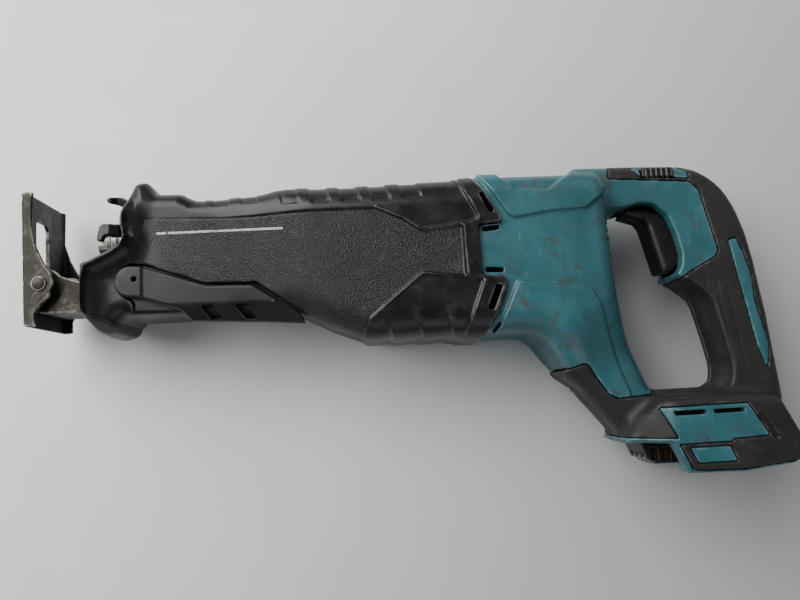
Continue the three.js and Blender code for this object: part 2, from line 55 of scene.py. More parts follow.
ORIGIN = Vector(
    (
        fan_low.x - FAN_FRONT * MM,
        (fan_low.y + fan_high.y) / 2 + MOTOR_DROP * MM,
        (fan_low.z + fan_high.z) / 2,
    )
)
SIDE = 40.0  # half width of the gear case and the foot
HOUSING_WALL = 5.0
RUBBER = 2.4
SEAM = 0.28  # half of the gap between two pieces


def place(points):
    """Points in the saw's layout, in millimetres, as points in the row frame, in metres."""
    return np.asarray(points, dtype=np.float64) * MM + np.array(ORIGIN)


# ---- Distance fields ----
def layout_box(node):
    """A CAD node's box in the saw's layout, in millimetres: its low and high corners."""
    low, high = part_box(node)
    return [(np.array(corner) - np.array(ORIGIN)) / MM for corner in (low, high)]


def outline(corners, step=0.2):
    """The points of a polygon whose corners are (x, y, radius), with each corner rounded by an arc."""
    points = []
    count = len(corners)
    for i, corner in enumerate(corners):
        here = np.array(corner[:2], dtype=float)
        radius = corner[2] if len(corner) > 2 else 0.0
        a = np.array(corners[i - 1][:2], dtype=float) - here
        b = np.array(corners[(i + 1) % count][:2], dtype=float) - here
        a, b = a / np.hypot(*a), b / np.hypot(*b)
        turn = math.pi - math.acos(max(-1.0, min(1.0, float(a @ b))))
        if radius == 0 or turn < 0.02:
            points.append(here)
            continue
        start = here + a * radius * math.tan(turn / 2)
        middle = (a + b) / np.hypot(*(a + b))
        centre = here + middle * radius / math.cos(turn / 2)
        arm = start - centre
        side = math.copysign(1.0, b[0] * a[1] - b[1] * a[0])
        steps = max(1, round(turn / step))
        for k in range(steps + 1):
            c, s = math.cos(side * turn * k / steps), math.sin(side * turn * k / steps)
            points.append(centre + np.array((c * arm[0] - s * arm[1], s * arm[0] + c * arm[1])))
    return points


def polygon(corners, u, v):
    """Signed distance to a rounded polygon on the plane (u, v), negative inside."""
    points = outline(corners)
    squared = np.full(np.broadcast(u, v).shape, 1e12, dtype=np.float32)
    inside = np.zeros(squared.shape, dtype=bool)
    for (x0, y0), (x1, y1) in zip(points, points[1:] + points[:1]):
        ex, ey = x1 - x0, y1 - y0
        length = ex * ex + ey * ey
        if length < 1e-12:
            continue
        px, py = u - x0, v - y0
        t = np.clip((px * ex + py * ey) / length, 0, 1)
        squared = np.minimum(squared, (px - ex * t) ** 2 + (py - ey * t) ** 2)
        crosses = (y0 <= v) != (y1 <= v)
        if ey:
            inside ^= crosses & (px < py * ex / ey)
    return np.where(inside, -1, 1) * np.sqrt(squared)


def smoothstep(x, low, high):
    t = np.clip((x - low) / (high - low), 0, 1)
    return t * t * (3 - 2 * t)


def union(a, b, soft=0.0):
    """The union of two fields, blended over soft millimetres."""
    if not soft:
        return np.minimum(a, b)
    h = np.clip(0.5 + 0.5 * (b - a) / soft, 0, 1)
    return b + (a - b) * h - soft * h * (1 - h)


def overlap(a, b, soft=0.0):
    return -union(-a, -b, soft)


def without(a, b, soft=0.0):
    return overlap(a, -b, soft)


def slab(flat, across, half, edge):
    """A flat outline's field carried to +-half along another axis, with its edges rounded by a radius."""
    u = flat + edge
    v = np.abs(across) - (half - edge)
    return np.hypot(np.maximum(u, 0), np.maximum(v, 0)) + np.minimum(np.maximum(u, v), 0) - edge


def inside_step(flat, width):
    """1 inside an outline and 0 outside, changing over a width across its edge."""
    return 1 - smoothstep(flat, -width / 2, width / 2)


class Volume:
    """A grid of points in the saw's layout on which fields are worked out."""

    def __init__(self, x, y, z, step):
        self.step = step
        self.low = np.array((x[0], y[0], z[0]), dtype=np.float32)
        axes = [np.arange(a, b + step, step, dtype=np.float32) for a, b in (x, y, z)]
        self.x, self.y, self.z = np.meshgrid(*axes, indexing="ij", sparse=True)
        self.shape = tuple(len(a) for a in axes)

    def flat(self, corners):
        return polygon(corners, self.x, self.y)

    def plate(self, corners, half, edge, centre=0.0):
        return slab(self.flat(corners), self.z - centre, half, edge)

    def block(self, low, high, edge=0.5):
        """A box with rounded edges."""
        q = [
            np.abs(c - (a + b) / 2) - ((b - a) / 2 - edge)
            for c, a, b in zip((self.x, self.y, self.z), low, high)
        ]
        outside = np.sqrt(sum(np.maximum(d, 0) ** 2 for d in q))
        return outside + np.minimum(np.maximum(np.maximum(q[0], q[1]), q[2]), 0) - edge

    def bar(self, axis, centre, radius, low, high, edge=0.5):
        """A round bar along an axis, 0 to 2, through centre on the other two axes."""
        others = [c for i, c in enumerate((self.x, self.y, self.z)) if i != axis]
        along = (self.x, self.y, self.z)[axis]
        flat = np.hypot(others[0] - centre[0], others[1] - centre[1]) - radius
        return slab(flat, along - (low + high) / 2, (high - low) / 2, edge)

    def full(self, field):
        return np.ascontiguousarray(np.broadcast_to(field, self.shape), dtype=np.float32)

    def sample(self, field, points):
        """The field at any points of the layout, by linear interpolation."""
        p = (points - self.low) / self.step
        p = np.clip(p, 0, np.array(self.shape) - 1.001)
        cell = p.astype(np.int64)
        t = (p - cell).astype(np.float32)
        total = np.zeros(len(points), dtype=np.float32)
        for dx in (0, 1):
            for dy in (0, 1):
                for dz in (0, 1):
                    weight = (
                        np.abs(1 - dx - t[:, 0]) * np.abs(1 - dy - t[:, 1]) * np.abs(1 - dz - t[:, 2])
                    )
                    total += weight * field[cell[:, 0] + dx, cell[:, 1] + dy, cell[:, 2] + dz]
        return total

    def normals(self, field, points):
        reach = 0.6 * self.step
        columns = []
        for axis in range(3):
            shift = np.zeros(3)
            shift[axis] = reach
            columns.append(self.sample(field, points + shift) - self.sample(field, points - shift))
        normals = np.stack(columns, axis=1)
        return normals / np.maximum(np.linalg.norm(normals, axis=1, keepdims=True), 1e-9)


CORNERS = np.array([(i, j, k) for i in (0, 1) for j in (0, 1) for k in (0, 1)])
CELL_EDGES = [(a, b) for a in range(8) for b in range(a) if np.abs(CORNERS[a] - CORNERS[b]).sum() == 1]


def surface_net(volume, field):
    """Vertices in the layout and quads of the surface where a field is zero."""
    inside = field < 0
    count = np.zeros(tuple(n - 1 for n in field.shape), dtype=np.int8)
    for i, j, k in CORNERS:
        count += inside[i : inside.shape[0] - 1 + i, j : inside.shape[1] - 1 + j, k : inside.shape[2] - 1 + k]
    cells = np.argwhere((count > 0) & (count < 8))
    index = np.full(count.shape, -1, dtype=np.int64)
    index[tuple(cells.T)] = np.arange(len(cells))
    values = [field[tuple((cells + c).T)] for c in CORNERS]
    total = np.zeros((len(cells), 3))
    crossings = np.zeros(len(cells))
    for a, b in CELL_EDGES:
        crossed = (values[a] < 0) != (values[b] < 0)
        t = np.where(crossed, values[a] / np.where(crossed, values[a] - values[b], 1), 0)
        total += np.where(crossed[:, None], CORNERS[a] + (CORNERS[b] - CORNERS[a]) * t[:, None], 0)
        crossings += crossed
    vertices = (cells + total / crossings[:, None]) * volume.step + volume.low
    quads = []
    for axis in range(3):
        one, two = (axis + 1) % 3, (axis + 2) % 3
        ahead = np.take(inside, range(1, inside.shape[axis]), axis)
        behind = np.take(inside, range(inside.shape[axis] - 1), axis)
        edges = np.argwhere(ahead != behind)
        edges = edges[(edges[:, one] > 0) & (edges[:, two] > 0)]
        edges = edges[(edges[:, one] < count.shape[one]) & (edges[:, two] < count.shape[two])]
        ring = []
        for u, v in ((1, 1), (0, 1), (0, 0), (1, 0)):
            cell = edges.copy()
            cell[:, one] -= u
            cell[:, two] -= v
            ring.append(index[tuple(cell.T)])
        faces = np.stack(ring, axis=1)
        outwards = behind[tuple(edges.T)]
        quads.append(np.where(outwards[:, None], faces, faces[:, ::-1]))
    return vertices, np.concatenate(quads)


# ---- Mesh pieces ----
def new_mesh(name, vertices, faces):
    """A mesh of quads or triangles, given in the row frame."""
    mesh = bpy.data.meshes.new(name)
    sides = faces.shape[1]
    mesh.vertices.add(len(vertices))
    mesh.vertices.foreach_set("co", np.ascontiguousarray(vertices, dtype=np.float32).ravel())
    mesh.loops.add(faces.size)
    mesh.loops.foreach_set("vertex_index", faces.astype(np.int32).ravel())
    mesh.polygons.add(len(faces))
    mesh.polygons.foreach_set("loop_start", np.arange(0, faces.size, sides, dtype=np.int32))
    mesh.update(calc_edges=True)
    mesh.validate()
    return mesh


def thinned(obj, faces):
    """The object's mesh collapsed to about that many triangles."""
    triangles = sum(len(p.vertices) - 2 for p in obj.data.polygons)
    modifier = obj.modifiers.new("thin", "DECIMATE")
    modifier.ratio = min(1.0, faces / triangles)
    graph = bpy.context.evaluated_depsgraph_get()
    mesh = bpy.data.meshes.new_from_object(obj.evaluated_get(graph))
    obj.modifiers.clear()
    return mesh


def vertex_points(mesh):
    points = np.empty(len(mesh.vertices) * 3, dtype=np.float32)
    mesh.vertices.foreach_get("co", points)
    return (points.reshape(-1, 3) - np.array(ORIGIN)) / MM


def show(obj, material, body, nodes=()):
    """Gives a piece its material, the body it rides on and the CAD nodes it stands for."""
    obj.data.materials.clear()
    obj.data.materials.append(material)
    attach(obj, body)
    if nodes:
        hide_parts(*nodes)
    return obj


def sculpt(name, volume, field, faces, masks=None):
    """A smooth-shaded object from a field. masks are vertex values for the shader, from x, y and z."""
    field = volume.full(field)
    vertices, quads = surface_net(volume, field)
    obj = bpy.data.objects.new(name, new_mesh(name, place(vertices), quads))
    bpy.context.scene.collection.objects.link(obj)
    mesh = thinned(obj, faces)
    mesh.name = name
    obj.data = mesh
    mesh.polygons.foreach_set("use_smooth", np.ones(len(mesh.polygons), dtype=bool))
    points = vertex_points(mesh)
    mesh.normals_split_custom_set_from_vertices(volume.normals(field, points))
    for mask, values in (masks or {}).items():
        layer = mesh.attributes.new(mask, "FLOAT", "POINT")
        layer.data.foreach_set("value", values(*points.T).astype(np.float32))
    return obj


# ---- Material nodes ----
class Shader:
    """Builds a Principled material from small node expressions. Scales are per metre."""

    def __init__(self, name):
        self.material = bpy.data.materials.new(name)
        self.material.use_nodes = True
        self.tree = self.material.node_tree
        self.bsdf = self.tree.nodes["Principled BSDF"]
        self.point = self.add("ShaderNodeTexCoord").outputs["Object"]

    def add(self, kind, **settings):
        made = self.tree.nodes.new(kind)
        for key, value in settings.items():
            setattr(made, key, value)
        return made

    def put(self, socket, value):
        if isinstance(value, bpy.types.NodeSocket):
            self.tree.links.new(value, socket)
        elif socket.type == "RGBA" and len(value) == 3:
            socket.default_value = (*value, 1)
        else:
            socket.default_value = value

    def math(self, operation, a, b=0.0, clamp=False):
        made = self.add("ShaderNodeMath", operation=operation, use_clamp=clamp)
        self.put(made.inputs[0], a)
        self.put(made.inputs[1], b)
        return made.outputs[0]

    def stretched(self, scale, turn=0.0):
        made = self.add("ShaderNodeMapping")
        self.put(made.inputs["Vector"], self.point)
        made.inputs["Scale"].default_value = scale
        made.inputs["Rotation"].default_value = (0, 0, turn)
        return made.outputs[0]

    def noise(self, scale, detail=3.0, roughness=0.55, vector=None, distortion=0.0):
        made = self.add("ShaderNodeTexNoise")
        self.put(made.inputs["Vector"], vector or self.point)
        made.inputs["Scale"].default_value = scale
        made.inputs["Detail"].default_value = detail
        made.inputs["Roughness"].default_value = roughness
        made.inputs["Distortion"].default_value = distortion
        return made.outputs["Fac"]

    def cells(self, scale, vector=None, feature="F1"):
        made = self.add("ShaderNodeTexVoronoi", feature=feature)
        self.put(made.inputs["Vector"], vector or self.point)
        made.inputs["Scale"].default_value = scale
        return made.outputs["Distance"]

    def band(self, value, low, high, to_low=0.0, to_high=1.0):
        """A value remapped smoothly from low..high to to_low..to_high."""
        made = self.add("ShaderNodeMapRange", interpolation_type="SMOOTHSTEP")
        for socket, number in zip(made.inputs, (value, low, high, to_low, to_high)):
            self.put(socket, number)
        return made.outputs[0]

    def mix(self, factor, a, b):
        made = self.add("ShaderNodeMix", data_type="RGBA")
        colours = [s for s in made.inputs if s.type == "RGBA"]
        self.put(made.inputs["Factor"], factor)
        self.put(colours[0], a)
        self.put(colours[1], b)
        return next(s for s in made.outputs if s.type == "RGBA")

    def edges(self, low, high):
        """1 on convex edges."""
        return self.band(self.add("ShaderNodeNewGeometry").outputs["Pointiness"], low, high)

    def mask(self, name):
        return self.add("ShaderNodeAttribute", attribute_name=name).outputs["Fac"]

    def bump(self, height, distance, strength=1.0, below=None):
        made = self.add("ShaderNodeBump")
        self.put(made.inputs["Height"], height)
        made.inputs["Distance"].default_value = distance
        made.inputs["Strength"].default_value = strength
        if below:
            self.put(made.inputs["Normal"], below)
        return made.outputs[0]

    def done(self, colour, roughness, metallic=0.0, normal=None, **constants):
        self.put(self.bsdf.inputs["Base Color"], colour)
        self.put(self.bsdf.inputs["Roughness"], roughness)
        self.put(self.bsdf.inputs["Metallic"], metallic)
        if normal:
            self.put(self.bsdf.inputs["Normal"], normal)
        for key, value in constants.items():
            self.bsdf.inputs[key.replace("_", " ")].default_value = value
        return self.material


GRIME = (0.045, 0.036, 0.026)
DUST = (0.20, 0.18, 0.15)


def scratches(shader, scale, turns=(0.3, -0.8, 1.4)):
    """Thin marks in a few directions."""
    total = None
    for i, turn in enumerate(turns):
        long = shader.stretched((scale, scale * 0.04, scale), turn)
        line = shader.band(shader.noise(1.0 + 0.1 * i, 2.0, 0.5, long), 0.70, 0.74)
        total = line if total is None else shader.math("MAXIMUM", total, line)
    patches = shader.band(shader.noise(60, 2.0), 0.48, 0.62)
    return shader.math("MULTIPLY", total, patches)


def worn_plastic(name, base, grime=0.5, roughness=0.5, grain=0.00006, dull=0.75, pale=0.15, gloss=0.5):
    """Moulded plastic with a fine grain, blotches, grime, fine marks and rubbed edges."""
    s = Shader(name)
    blotch = s.band(s.noise(38, 4.0, 0.6), 0.35, 0.68)
    colour = s.mix(blotch, base, tuple(c * dull for c in base))
    patches = s.band(s.noise(55, 3.0), 0.42, 0.66)
    speck = s.math("MULTIPLY", s.band(s.noise(420, 5.0, 0.7), 0.55, 0.72), patches)
    smear = s.math("MULTIPLY", s.band(s.noise(90, 6.0, 0.72, distortion=0.6), 0.52, 0.70), grime)
    dirt = s.math("MAXIMUM", s.math("MULTIPLY", speck, grime), smear)
    colour = s.mix(dirt, colour, GRIME)
    rubbed = s.math("MULTIPLY", s.edges(0.515, 0.56), s.band(s.noise(160, 3.0), 0.42, 0.6))
    marks = s.math("MAXIMUM", s.math("MULTIPLY", scratches(s, 900), 0.5), s.math("MULTIPLY", rubbed, 0.6))
    colour = s.mix(marks, colour, tuple(c * (1 - pale) + pale for c in base))
    rough = s.band(s.noise(70, 3.0), 0.3, 0.7, roughness - 0.06, roughness + 0.12)
    fine = s.bump(s.noise(2600, 2.0), grain)
    below = s.bump(s.noise(500, 3.0), grain * 0.8, below=fine)
    return s.done(colour, rough, normal=below, Specular_IOR_Level=gloss)


def steel(name, base, stain, staining, roughness=0.38, grain=0.00003):
    """Machined or worn steel with stains and brighter edges."""
    s = Shader(name)
    patch = s.band(s.noise(75, 6.0, 0.68, distortion=0.4), 0.5 - 0.3 * staining, 0.75 - 0.2 * staining)
    colour = s.mix(s.math("MULTIPLY", patch, staining), base, stain)
    mottle = s.band(s.noise(340, 6.0, 0.72), 0.44, 0.60)
    colour = s.mix(s.math("MULTIPLY", mottle, 0.75 * staining), colour, tuple(c * 0.6 for c in stain))
    pits = s.band(s.noise(900, 4.0, 0.7), 0.56, 0.68)
    colour = s.mix(s.math("MULTIPLY", pits, 0.5 * staining), colour, tuple(c * 0.35 for c in stain))
    bright = s.math("MULTIPLY", s.edges(0.508, 0.545), s.band(s.noise(240, 3.0), 0.32, 0.55))
    colour = s.mix(s.math("MULTIPLY", bright, 0.7), colour, (0.62, 0.60, 0.56))
    rough = s.math("ADD", s.math("MULTIPLY", patch, 0.25), roughness)
    metallic = s.band(patch, 0.0, 1.0, 1.0, 1 - 0.45 * staining)
    brushed = s.bump(s.noise(1.0, 3.0, vector=s.stretched((300, 4000, 4000))), grain)
    pitted = s.bump(s.noise(700, 4.0), grain * (1 + 3 * staining), below=brushed)
    return s.done(colour, rough, metallic, pitted)


# ---- Boot and nose ----
NOSE = [
    (58, -47.4, 3), (154.4, -47.4, 12), (173, -57.0, 16), (194.7, -65.4, 14), (262, -66.2, 5),
    (300, -66.2, 2), (300, 24.6, 2), (262, 24.6, 5), (247, 23.4, 6), (180, 22.0, 6), (150, 22.0, 8),
    (138, 19.4, 8), (99, 19.2, 8), (90, 23.2, 8), (76.4, 23.4, 3), (72.4, 27.6, 3), (69.2, 29.4, 2),
    (64.4, 29.2, 2.5), (61.2, 22.4, 8), (59.2, 5, 10), (61.4, -2.9, 5), (59.3, -7.8, 4), (54.5, -10.4, 8),
    (41.4, -16.8, 2), (37.4, -17.8, 0.6), (37.2, -26), (37, -36, 8), (37.6, -46, 8), (41.6, -54.6, 5),
    (47.6, -59.0, 2), (52.6, -56.4, 2), (54.8, -50.6, 2),
]
NOSE_FRONT = [
    (76.4, 40), (72, 32), (64.4, 28.5), (61.2, 22.4), (59.2, 5), (60.6, -2.9), (59, -7.8), (54, -11.3),
    (39, -19), (37.4, -26), (37, -36), (37.6, -46), (41.6, -56), (46, -62),
]
SEAM_LINE = [
    (10, -90), (247, -90), (259.9, -69.4, 3), (267.0, -56.7), (272.4, -43.9), (274.1, -36.2, 1.5),
    (272.4, -34.2, 1), (260.2, -33.4, 0.5), (259.6, -5.2, 0.5), (271.3, -4.2, 1), (272.8, -2.0, 1.5),
    (265.1, 11.6), (259.0, 21.5), (249, 40), (240, 60), (10, 60),
]
GRAIN_PANEL = [
    (50, -80), (186, -80), (197, -54.5), (205.5, -47.8, 2), (227.2, -30.4, 2), (250.2, -33.6),
    (249.6, -4.8), (227.6, -7.6, 2), (217, -0.2, 2), (203, 6.2, 3), (134, 5.7), (70, 7.4), (66, -12, 8),
    (46, -22),
]
COLLAR = [
    (243, 60), (252.3, 13.9, 2), (260.0, -1.0, 2), (250.6, -4.3), (251.4, -33.4), (261.2, -36.5, 2),
    (249.9, -65.4), (246, -90), (310, -90), (310, 60),
]
LEVER_RECESS = [
    (62, -70), (163, -70), (161, -50, 2), (133.4, -31.0, 4), (105, -30.4, 6), (70.5, -18.6, 6),
    (60, -17.6, 8), (55.6, -27, 9), (58, -36, 8), (64, -40, 4),
]
BOOT_SLOTS = [
    [(260.4, 12.8, 1), (266.2, 1.4, 1), (268.6, 2.6, 1), (262.8, 14.0, 1)],
    [(262.0, -52.6, 1), (267.6, -38.9, 1), (271.0, -40.0, 1), (265.4, -53.4, 1)],
]
TOP_NOTCHES = [  # x, y and depth of the finger notches along the top
    (100, 14, 0.4), (114, 14, 0.5), (131, 14, 0.6), (155, 11, 0.5), (172, 11, 0.8), (189, 11, 0.9),
    (206, 11, 0.9), (223.5, 12, 0.7),
]
COLLAR_RIDGES = [
    [(246, 27), (252.8, 14.4), (260.4, -1.6)],
    [(251.4, -5.4), (252.2, -32.6)],
    [(261.2, -37.0), (249.8, -65.6), (247, -72)],
    [(203, 6.6), (217, 0.2), (227.6, -7.2), (250, -4.6)],
    [(205.5, -48.2), (227.2, -30.8), (250.6, -34.0)],
]

KEEL = [  # the nose from the front: a lobe for the lamp hangs below it, across and up
    (-20, -59.4), (10, -59.2, 3), (19, -56.5, 5), (28, -50.5, 5), (34, -46.2, 4), (60, -44.8), (60, 90),
    (-20, 90),
]
BARREL_HALF = 28.6  # the nose's half width
RIM_HEIGHT, RIM_SWEEP = 9.0, 15.0  # how far the rim flares to the side, and over what length
MOUTH = ((61, 66, 71, 76), (29.8, 28.7, 26.4, 22.5))  # the mouth's radius going back
BOOT_WALL = 3.0
ARM_TUNNEL = ((0, -43.5, -18.6), (114, -22.6, 18.6))
LEVER_PIN = (64, -27.5)


def rim_distance(x, y):
    """How far a point lies behind the nose's front rim."""
    return np.sqrt(open_distance(NOSE_FRONT, x, y))


def boot_half(x, y):
    """The boot's half width: a barrel, a flared rim in front and a wider gear case behind."""
    behind_rim = np.clip((rim_distance(x, y) - 1.4) / RIM_SWEEP, 0, 1)
    flare = RIM_HEIGHT * (1 - np.sqrt(1 - (1 - behind_rim) ** 2)) * smoothstep(-x, -92, -80)
    flare = flare * smoothstep(-y, -26, -8)
    return BARREL_HALF + flare + (SIDE - 0.2 - BARREL_HALF) * smoothstep(x + 0.2 * y, 108, 170)


def open_distance(points, x, y):
    """Squared distance to an open line of points."""
    best = None
    for (x0, y0), (x1, y1) in zip(points, points[1:]):
        ex, ey = x1 - x0, y1 - y0
        t = np.clip(((x - x0) * ex + (y - y0) * ey) / (ex * ex + ey * ey), 0, 1)
        d = (x - x0 - ex * t) ** 2 + (y - y0 - ey * t) ** 2
        best = d if best is None else np.minimum(best, d)
    return best


def slanted_notch(v, x, y, width=10.0, lean=-0.28):
    """The flat outline of a finger notch that runs over the top from (x, y), leaning forwards."""
    top = y + 34
    left, right = x - width / 2, x + width / 2
    return v.flat([(left, y, 1), (right, y, 1), (right + lean * 34, top), (left + lean * 34, top)])


def boot_relief(v):
    """How far the boot's surface stands out, in millimetres."""
    behind = smoothstep(v.x, 95, 150)
    bands = (0.25 + 0.75 * behind) * smoothstep(v.flat(GRAIN_PANEL), -0.7, 0.9)
    relief = bands * (v.x > 66) + 1.0 * inside_step(v.flat(COLLAR), 1.4)
    for x, y, depth in TOP_NOTCHES:
        relief = relief - depth * inside_step(slanted_notch(v, x, y), 1.5)
    step = ((v.x + 0.30 * (v.y + 68) - 193.0) / 17.2) % 1.0
    ribs = smoothstep(-v.y, 50.0, 55.0) * smoothstep(v.x, 200, 206) * smoothstep(-v.x, -250, -246)
    for ridge in COLLAR_RIDGES:
        relief = relief + 0.75 * np.exp(-open_distance(ridge, v.x, v.y) / 0.9)
    return relief - 0.9 * ribs * smoothstep(step, 0.0, 0.93) * smoothstep(-step, -1.0, -0.93)


def boot_field(v):
    half = boot_half(v.x, v.y)
    flat = v.flat(NOSE)
    behind = rim_distance(v.x, v.y)
    flare = 1.4 * np.exp(-((behind / 4.0) ** 2)) * smoothstep(v.x, 56, 64)
    crisp = (1 - smoothstep(behind, 1, 13)) * smoothstep(-v.y, -24, -8)
    edge = 10.0 - 7.0 * crisp + 6.0 * smoothstep(v.x, 120, 175)
    base = slab(flat - flare, v.z, half, edge)
    base = overlap(base, polygon(KEEL, np.abs(v.z), v.y) - 40 * smoothstep(v.x, 60, 84), 2.0)
    recess = np.maximum(v.flat(LEVER_RECESS), 24.4 - v.z)
    return without(base, recess, 1.2)


def make_boot():
    v = Volume((29, 281), (-73, 40), (-43, 43), 0.72)
    base = boot_field(v)
    outer = base - boot_relief(v)
    cuts = [
        np.maximum(base + BOOT_WALL, 60 - v.x),
        np.maximum(np.hypot(v.y, v.z) - np.interp(v.x, *MOUTH), v.x - MOUTH[0][-1]),
        v.block(*ARM_TUNNEL),
        v.flat(SEAM_LINE) * -1 - SEAM,
        *[np.maximum(v.flat(slot), 30 - np.abs(v.z)) for slot in BOOT_SLOTS],
        v.bar(2, LEVER_PIN, 4.6, 15, 45),
        v.plate(LENS_SEAT, 7.2, 0.3),
    ]
    shell = outer
    for cut in cuts:
        shell = without(shell, cut)

    def grained(x, y, z):
        grain = 1 - smoothstep(polygon(GRAIN_PANEL, x, y), -1.5, 0.2)
        return grain * smoothstep(np.abs(z), 18, 24) * smoothstep(x + 0.25 * y, 66, 84)

    boot = sculpt("boot", v, shell, 90000, {"grained": grained})
    return show(boot, boot_rubber(), "body", ["insulation_boot"])


STRIPE = ((77.2, -1.3), (150.4, -0.6), 0.62)  # from, to and half width
STRIPE_DROP = 0.231  # how far the stripe sinks for each millimetre its panel stands out past the barrel
BARREL_SIDE = 29.0
LENS_SEAT = [(37, -51), (43, -57.4), (51.6, -51), (47.5, -45.6)]


def stripe_mask(s):
    """1 on the thin stripe on the nose's left side."""
    axes = s.add("ShaderNodeSeparateXYZ")
    s.put(axes.inputs[0], s.point)
    x, y, z = axes.outputs
    start, end, half = STRIPE
    a, b = place([(*start, 0), (*end, 0)])
    slope = float((b[1] - a[1]) / (b[0] - a[0]))
    line = s.math("MULTIPLY", s.math("SUBTRACT", x, float(a[0])), slope)
    line = s.math("ADD", line, float(a[1]))
    out = s.math("SUBTRACT", z, float(ORIGIN.z) + BARREL_SIDE * MM)
    line = s.math("SUBTRACT", line, s.math("MULTIPLY", out, STRIPE_DROP))
    off = s.math("ABSOLUTE", s.math("SUBTRACT", y, line))
    on_line = s.band(off, (half + 0.12) * MM, (half - 0.12) * MM)
    started = s.band(x, float(a[0]), float(a[0]) + 0.0008)
    not_ended = s.band(x, float(b[0]), float(b[0]) - 0.0008)
    along = s.math("MULTIPLY", started, not_ended)
    upper = s.band(z, float(ORIGIN.z) + 0.020, float(ORIGIN.z) + 0.021)
    return s.math("MULTIPLY", s.math("MULTIPLY", on_line, along), upper)


def boot_rubber():
    """Black rubber: leather-like grain on the side panel, smooth and faintly greasy elsewhere."""
    s = Shader("boot_rubber")
    grained = s.mask("grained")
    blotch = s.band(s.noise(30, 4.0, 0.6), 0.3, 0.7)
    colour = s.mix(blotch, (0.0038, 0.0038, 0.0042), (0.0078, 0.0076, 0.0077))
    dust = s.math("MULTIPLY", s.band(s.noise(110, 6.0, 0.75), 0.5, 0.75), 0.10)
    colour = s.mix(dust, colour, DUST)
    rubbed = s.math("MULTIPLY", s.edges(0.51, 0.55), s.band(s.noise(130, 3.0), 0.38, 0.62))
    colour = s.mix(s.math("MULTIPLY", rubbed, 0.45), colour, (0.20, 0.19, 0.18))
    stripe = stripe_mask(s)
    worn = s.math("MULTIPLY", stripe, s.band(s.noise(300, 4.0, 0.7), 0.70, 0.52))
    colour = s.mix(worn, colour, (0.42, 0.40, 0.38))
    pebbles = s.math("ADD", s.cells(1450), s.math("MULTIPLY", s.noise(2400, 2.0), 0.5))
    leather = s.bump(s.math("MULTIPLY", pebbles, grained), 0.00034)
    fine = s.bump(s.noise(900, 4.0, 0.6), 0.00004, below=leather)
    smooth = s.band(s.noise(60, 3.0), 0.3, 0.7, 0.27, 0.40)
    rough = s.math("ADD", smooth, s.math("MULTIPLY", grained, 0.05))
    rough = s.math("ADD", rough, s.math("MULTIPLY", dust, 0.6))
    return s.done(colour, rough, s.math("MULTIPLY", worn, 0.5), fine, Specular_IOR_Level=0.36)


# ---- Motor housing, handle and foot ----
MOTOR = [
    (230, -64.2, 2), (279, -63.8, 20), (291, -64.2, 10), (298.6, -69.6, 12), (308.5, -86.4, 14),
    (318.5, -99.2), (336, -121, 10), (345.5, -130.2, 4), (372, -131, 3), (364, -104, 4), (357.5, -98.5, 8),
    (345.5, -69, 40), (339, -46, 30), (336.6, 4, 3), (336.4, 17, 6), (330.5, 25.2, 6), (279, 25.2, 2),
    (230, 24.8, 2),
]
HANDLE = [
    (308, 8, 2), (313.6, 25.4, 3), (323.2, 34.9, 4), (352, 34.5), (387, 33.8, 24), (397.8, 31.2, 20),
    (406.7, 25.9, 20), (414.8, 17.3, 20), (420.7, 5.7, 30), (425.5, -9.6, 30), (428.7, -26.7, 40),
    (433, -58.6, 40), (435.5, -84.5, 40), (437.8, -107.5, 5), (434, -128, 6), (352, -130), (330, -108),
]
GRIP_OPENING = [
    (326, 7.2, 2), (326, -86, 4), (356.6, -101.4, 8), (394.5, -101.0, 7), (400.6, -96.6, 6),
    (401.4, -88.4, 10), (398.6, -74, 40), (394.4, -56, 14), (391.2, -44.4, 6), (386.8, -38.8, 5),
    (382.8, -37.0, 2), (379.0, -35.6, 1), (378.4, -33.0, 1), (381.0, -28.6, 3), (382.0, -22.0, 8),
    (379.4, -9.3, 14), (375.4, 1.9, 8), (368.5, 8.4, 6), (360.5, 9.4, 6), (352, 7.0, 3),
]
FOOT = [
    (338.6, -129.8, 1.5), (359.6, -130.4, 2), (367.2, -146.6, 2), (399, -146.8, 20), (425.4, -143.6, 5),
    (431, -140.8, 2), (433, -130.6, 4), (421.5, -107.4, 6), (400, -104.8, 10), (357, -106.5, 8),
    (346, -116, 12),
]
RUBBER_AREA = [
    (290, -94), (290, -200), (500, -200), (500, 60), (343.8, 60), (343.6, 33.3), (341.8, 25.4, 1.5),
    (390.4, 22.4, 4), (396.2, 17.4, 3), (398.6, 6), (404.8, -20, 4), (402.6, -24, 2), (387.6, -31.8, 4),
    (380.5, -36.8, 2), (372, -40), (372, -95), (360, -99.6), (356.5, -103.6, 2), (336.5, -104.8, 4),
    (331.4, -102.2, 3), (320, -86, 3), (316.9, -84.4, 3), (303.5, -88.8),
]
GRIP_STRIPE = [
    (411.0, -14.2, 0.8), (415.8, -13.0, 0.8), (420.0, -22.5, 1), (423.6, -36, 1), (423.8, -50, 1),
    (425.6, -59, 1), (430.6, -76, 1), (427.2, -91.5, 0.5), (422.3, -77.5), (415.3, -38.2),
]
FOOT_PANEL = [
    (354.3, -110.7, 1), (362.6, -127.6, 0.5), (355, -127.4), (355, -130.8), (391.8, -130.3, 0.5),
    (392.4, -128.9), (413.3, -127.8, 1), (402.3, -109.6, 1),
]
FOOT_BADGE = [(367.9, -132.6, 0.8), (372.5, -141.2, 0.8), (394.0, -141.0, 0.8), (390.4, -132.4, 0.8)]
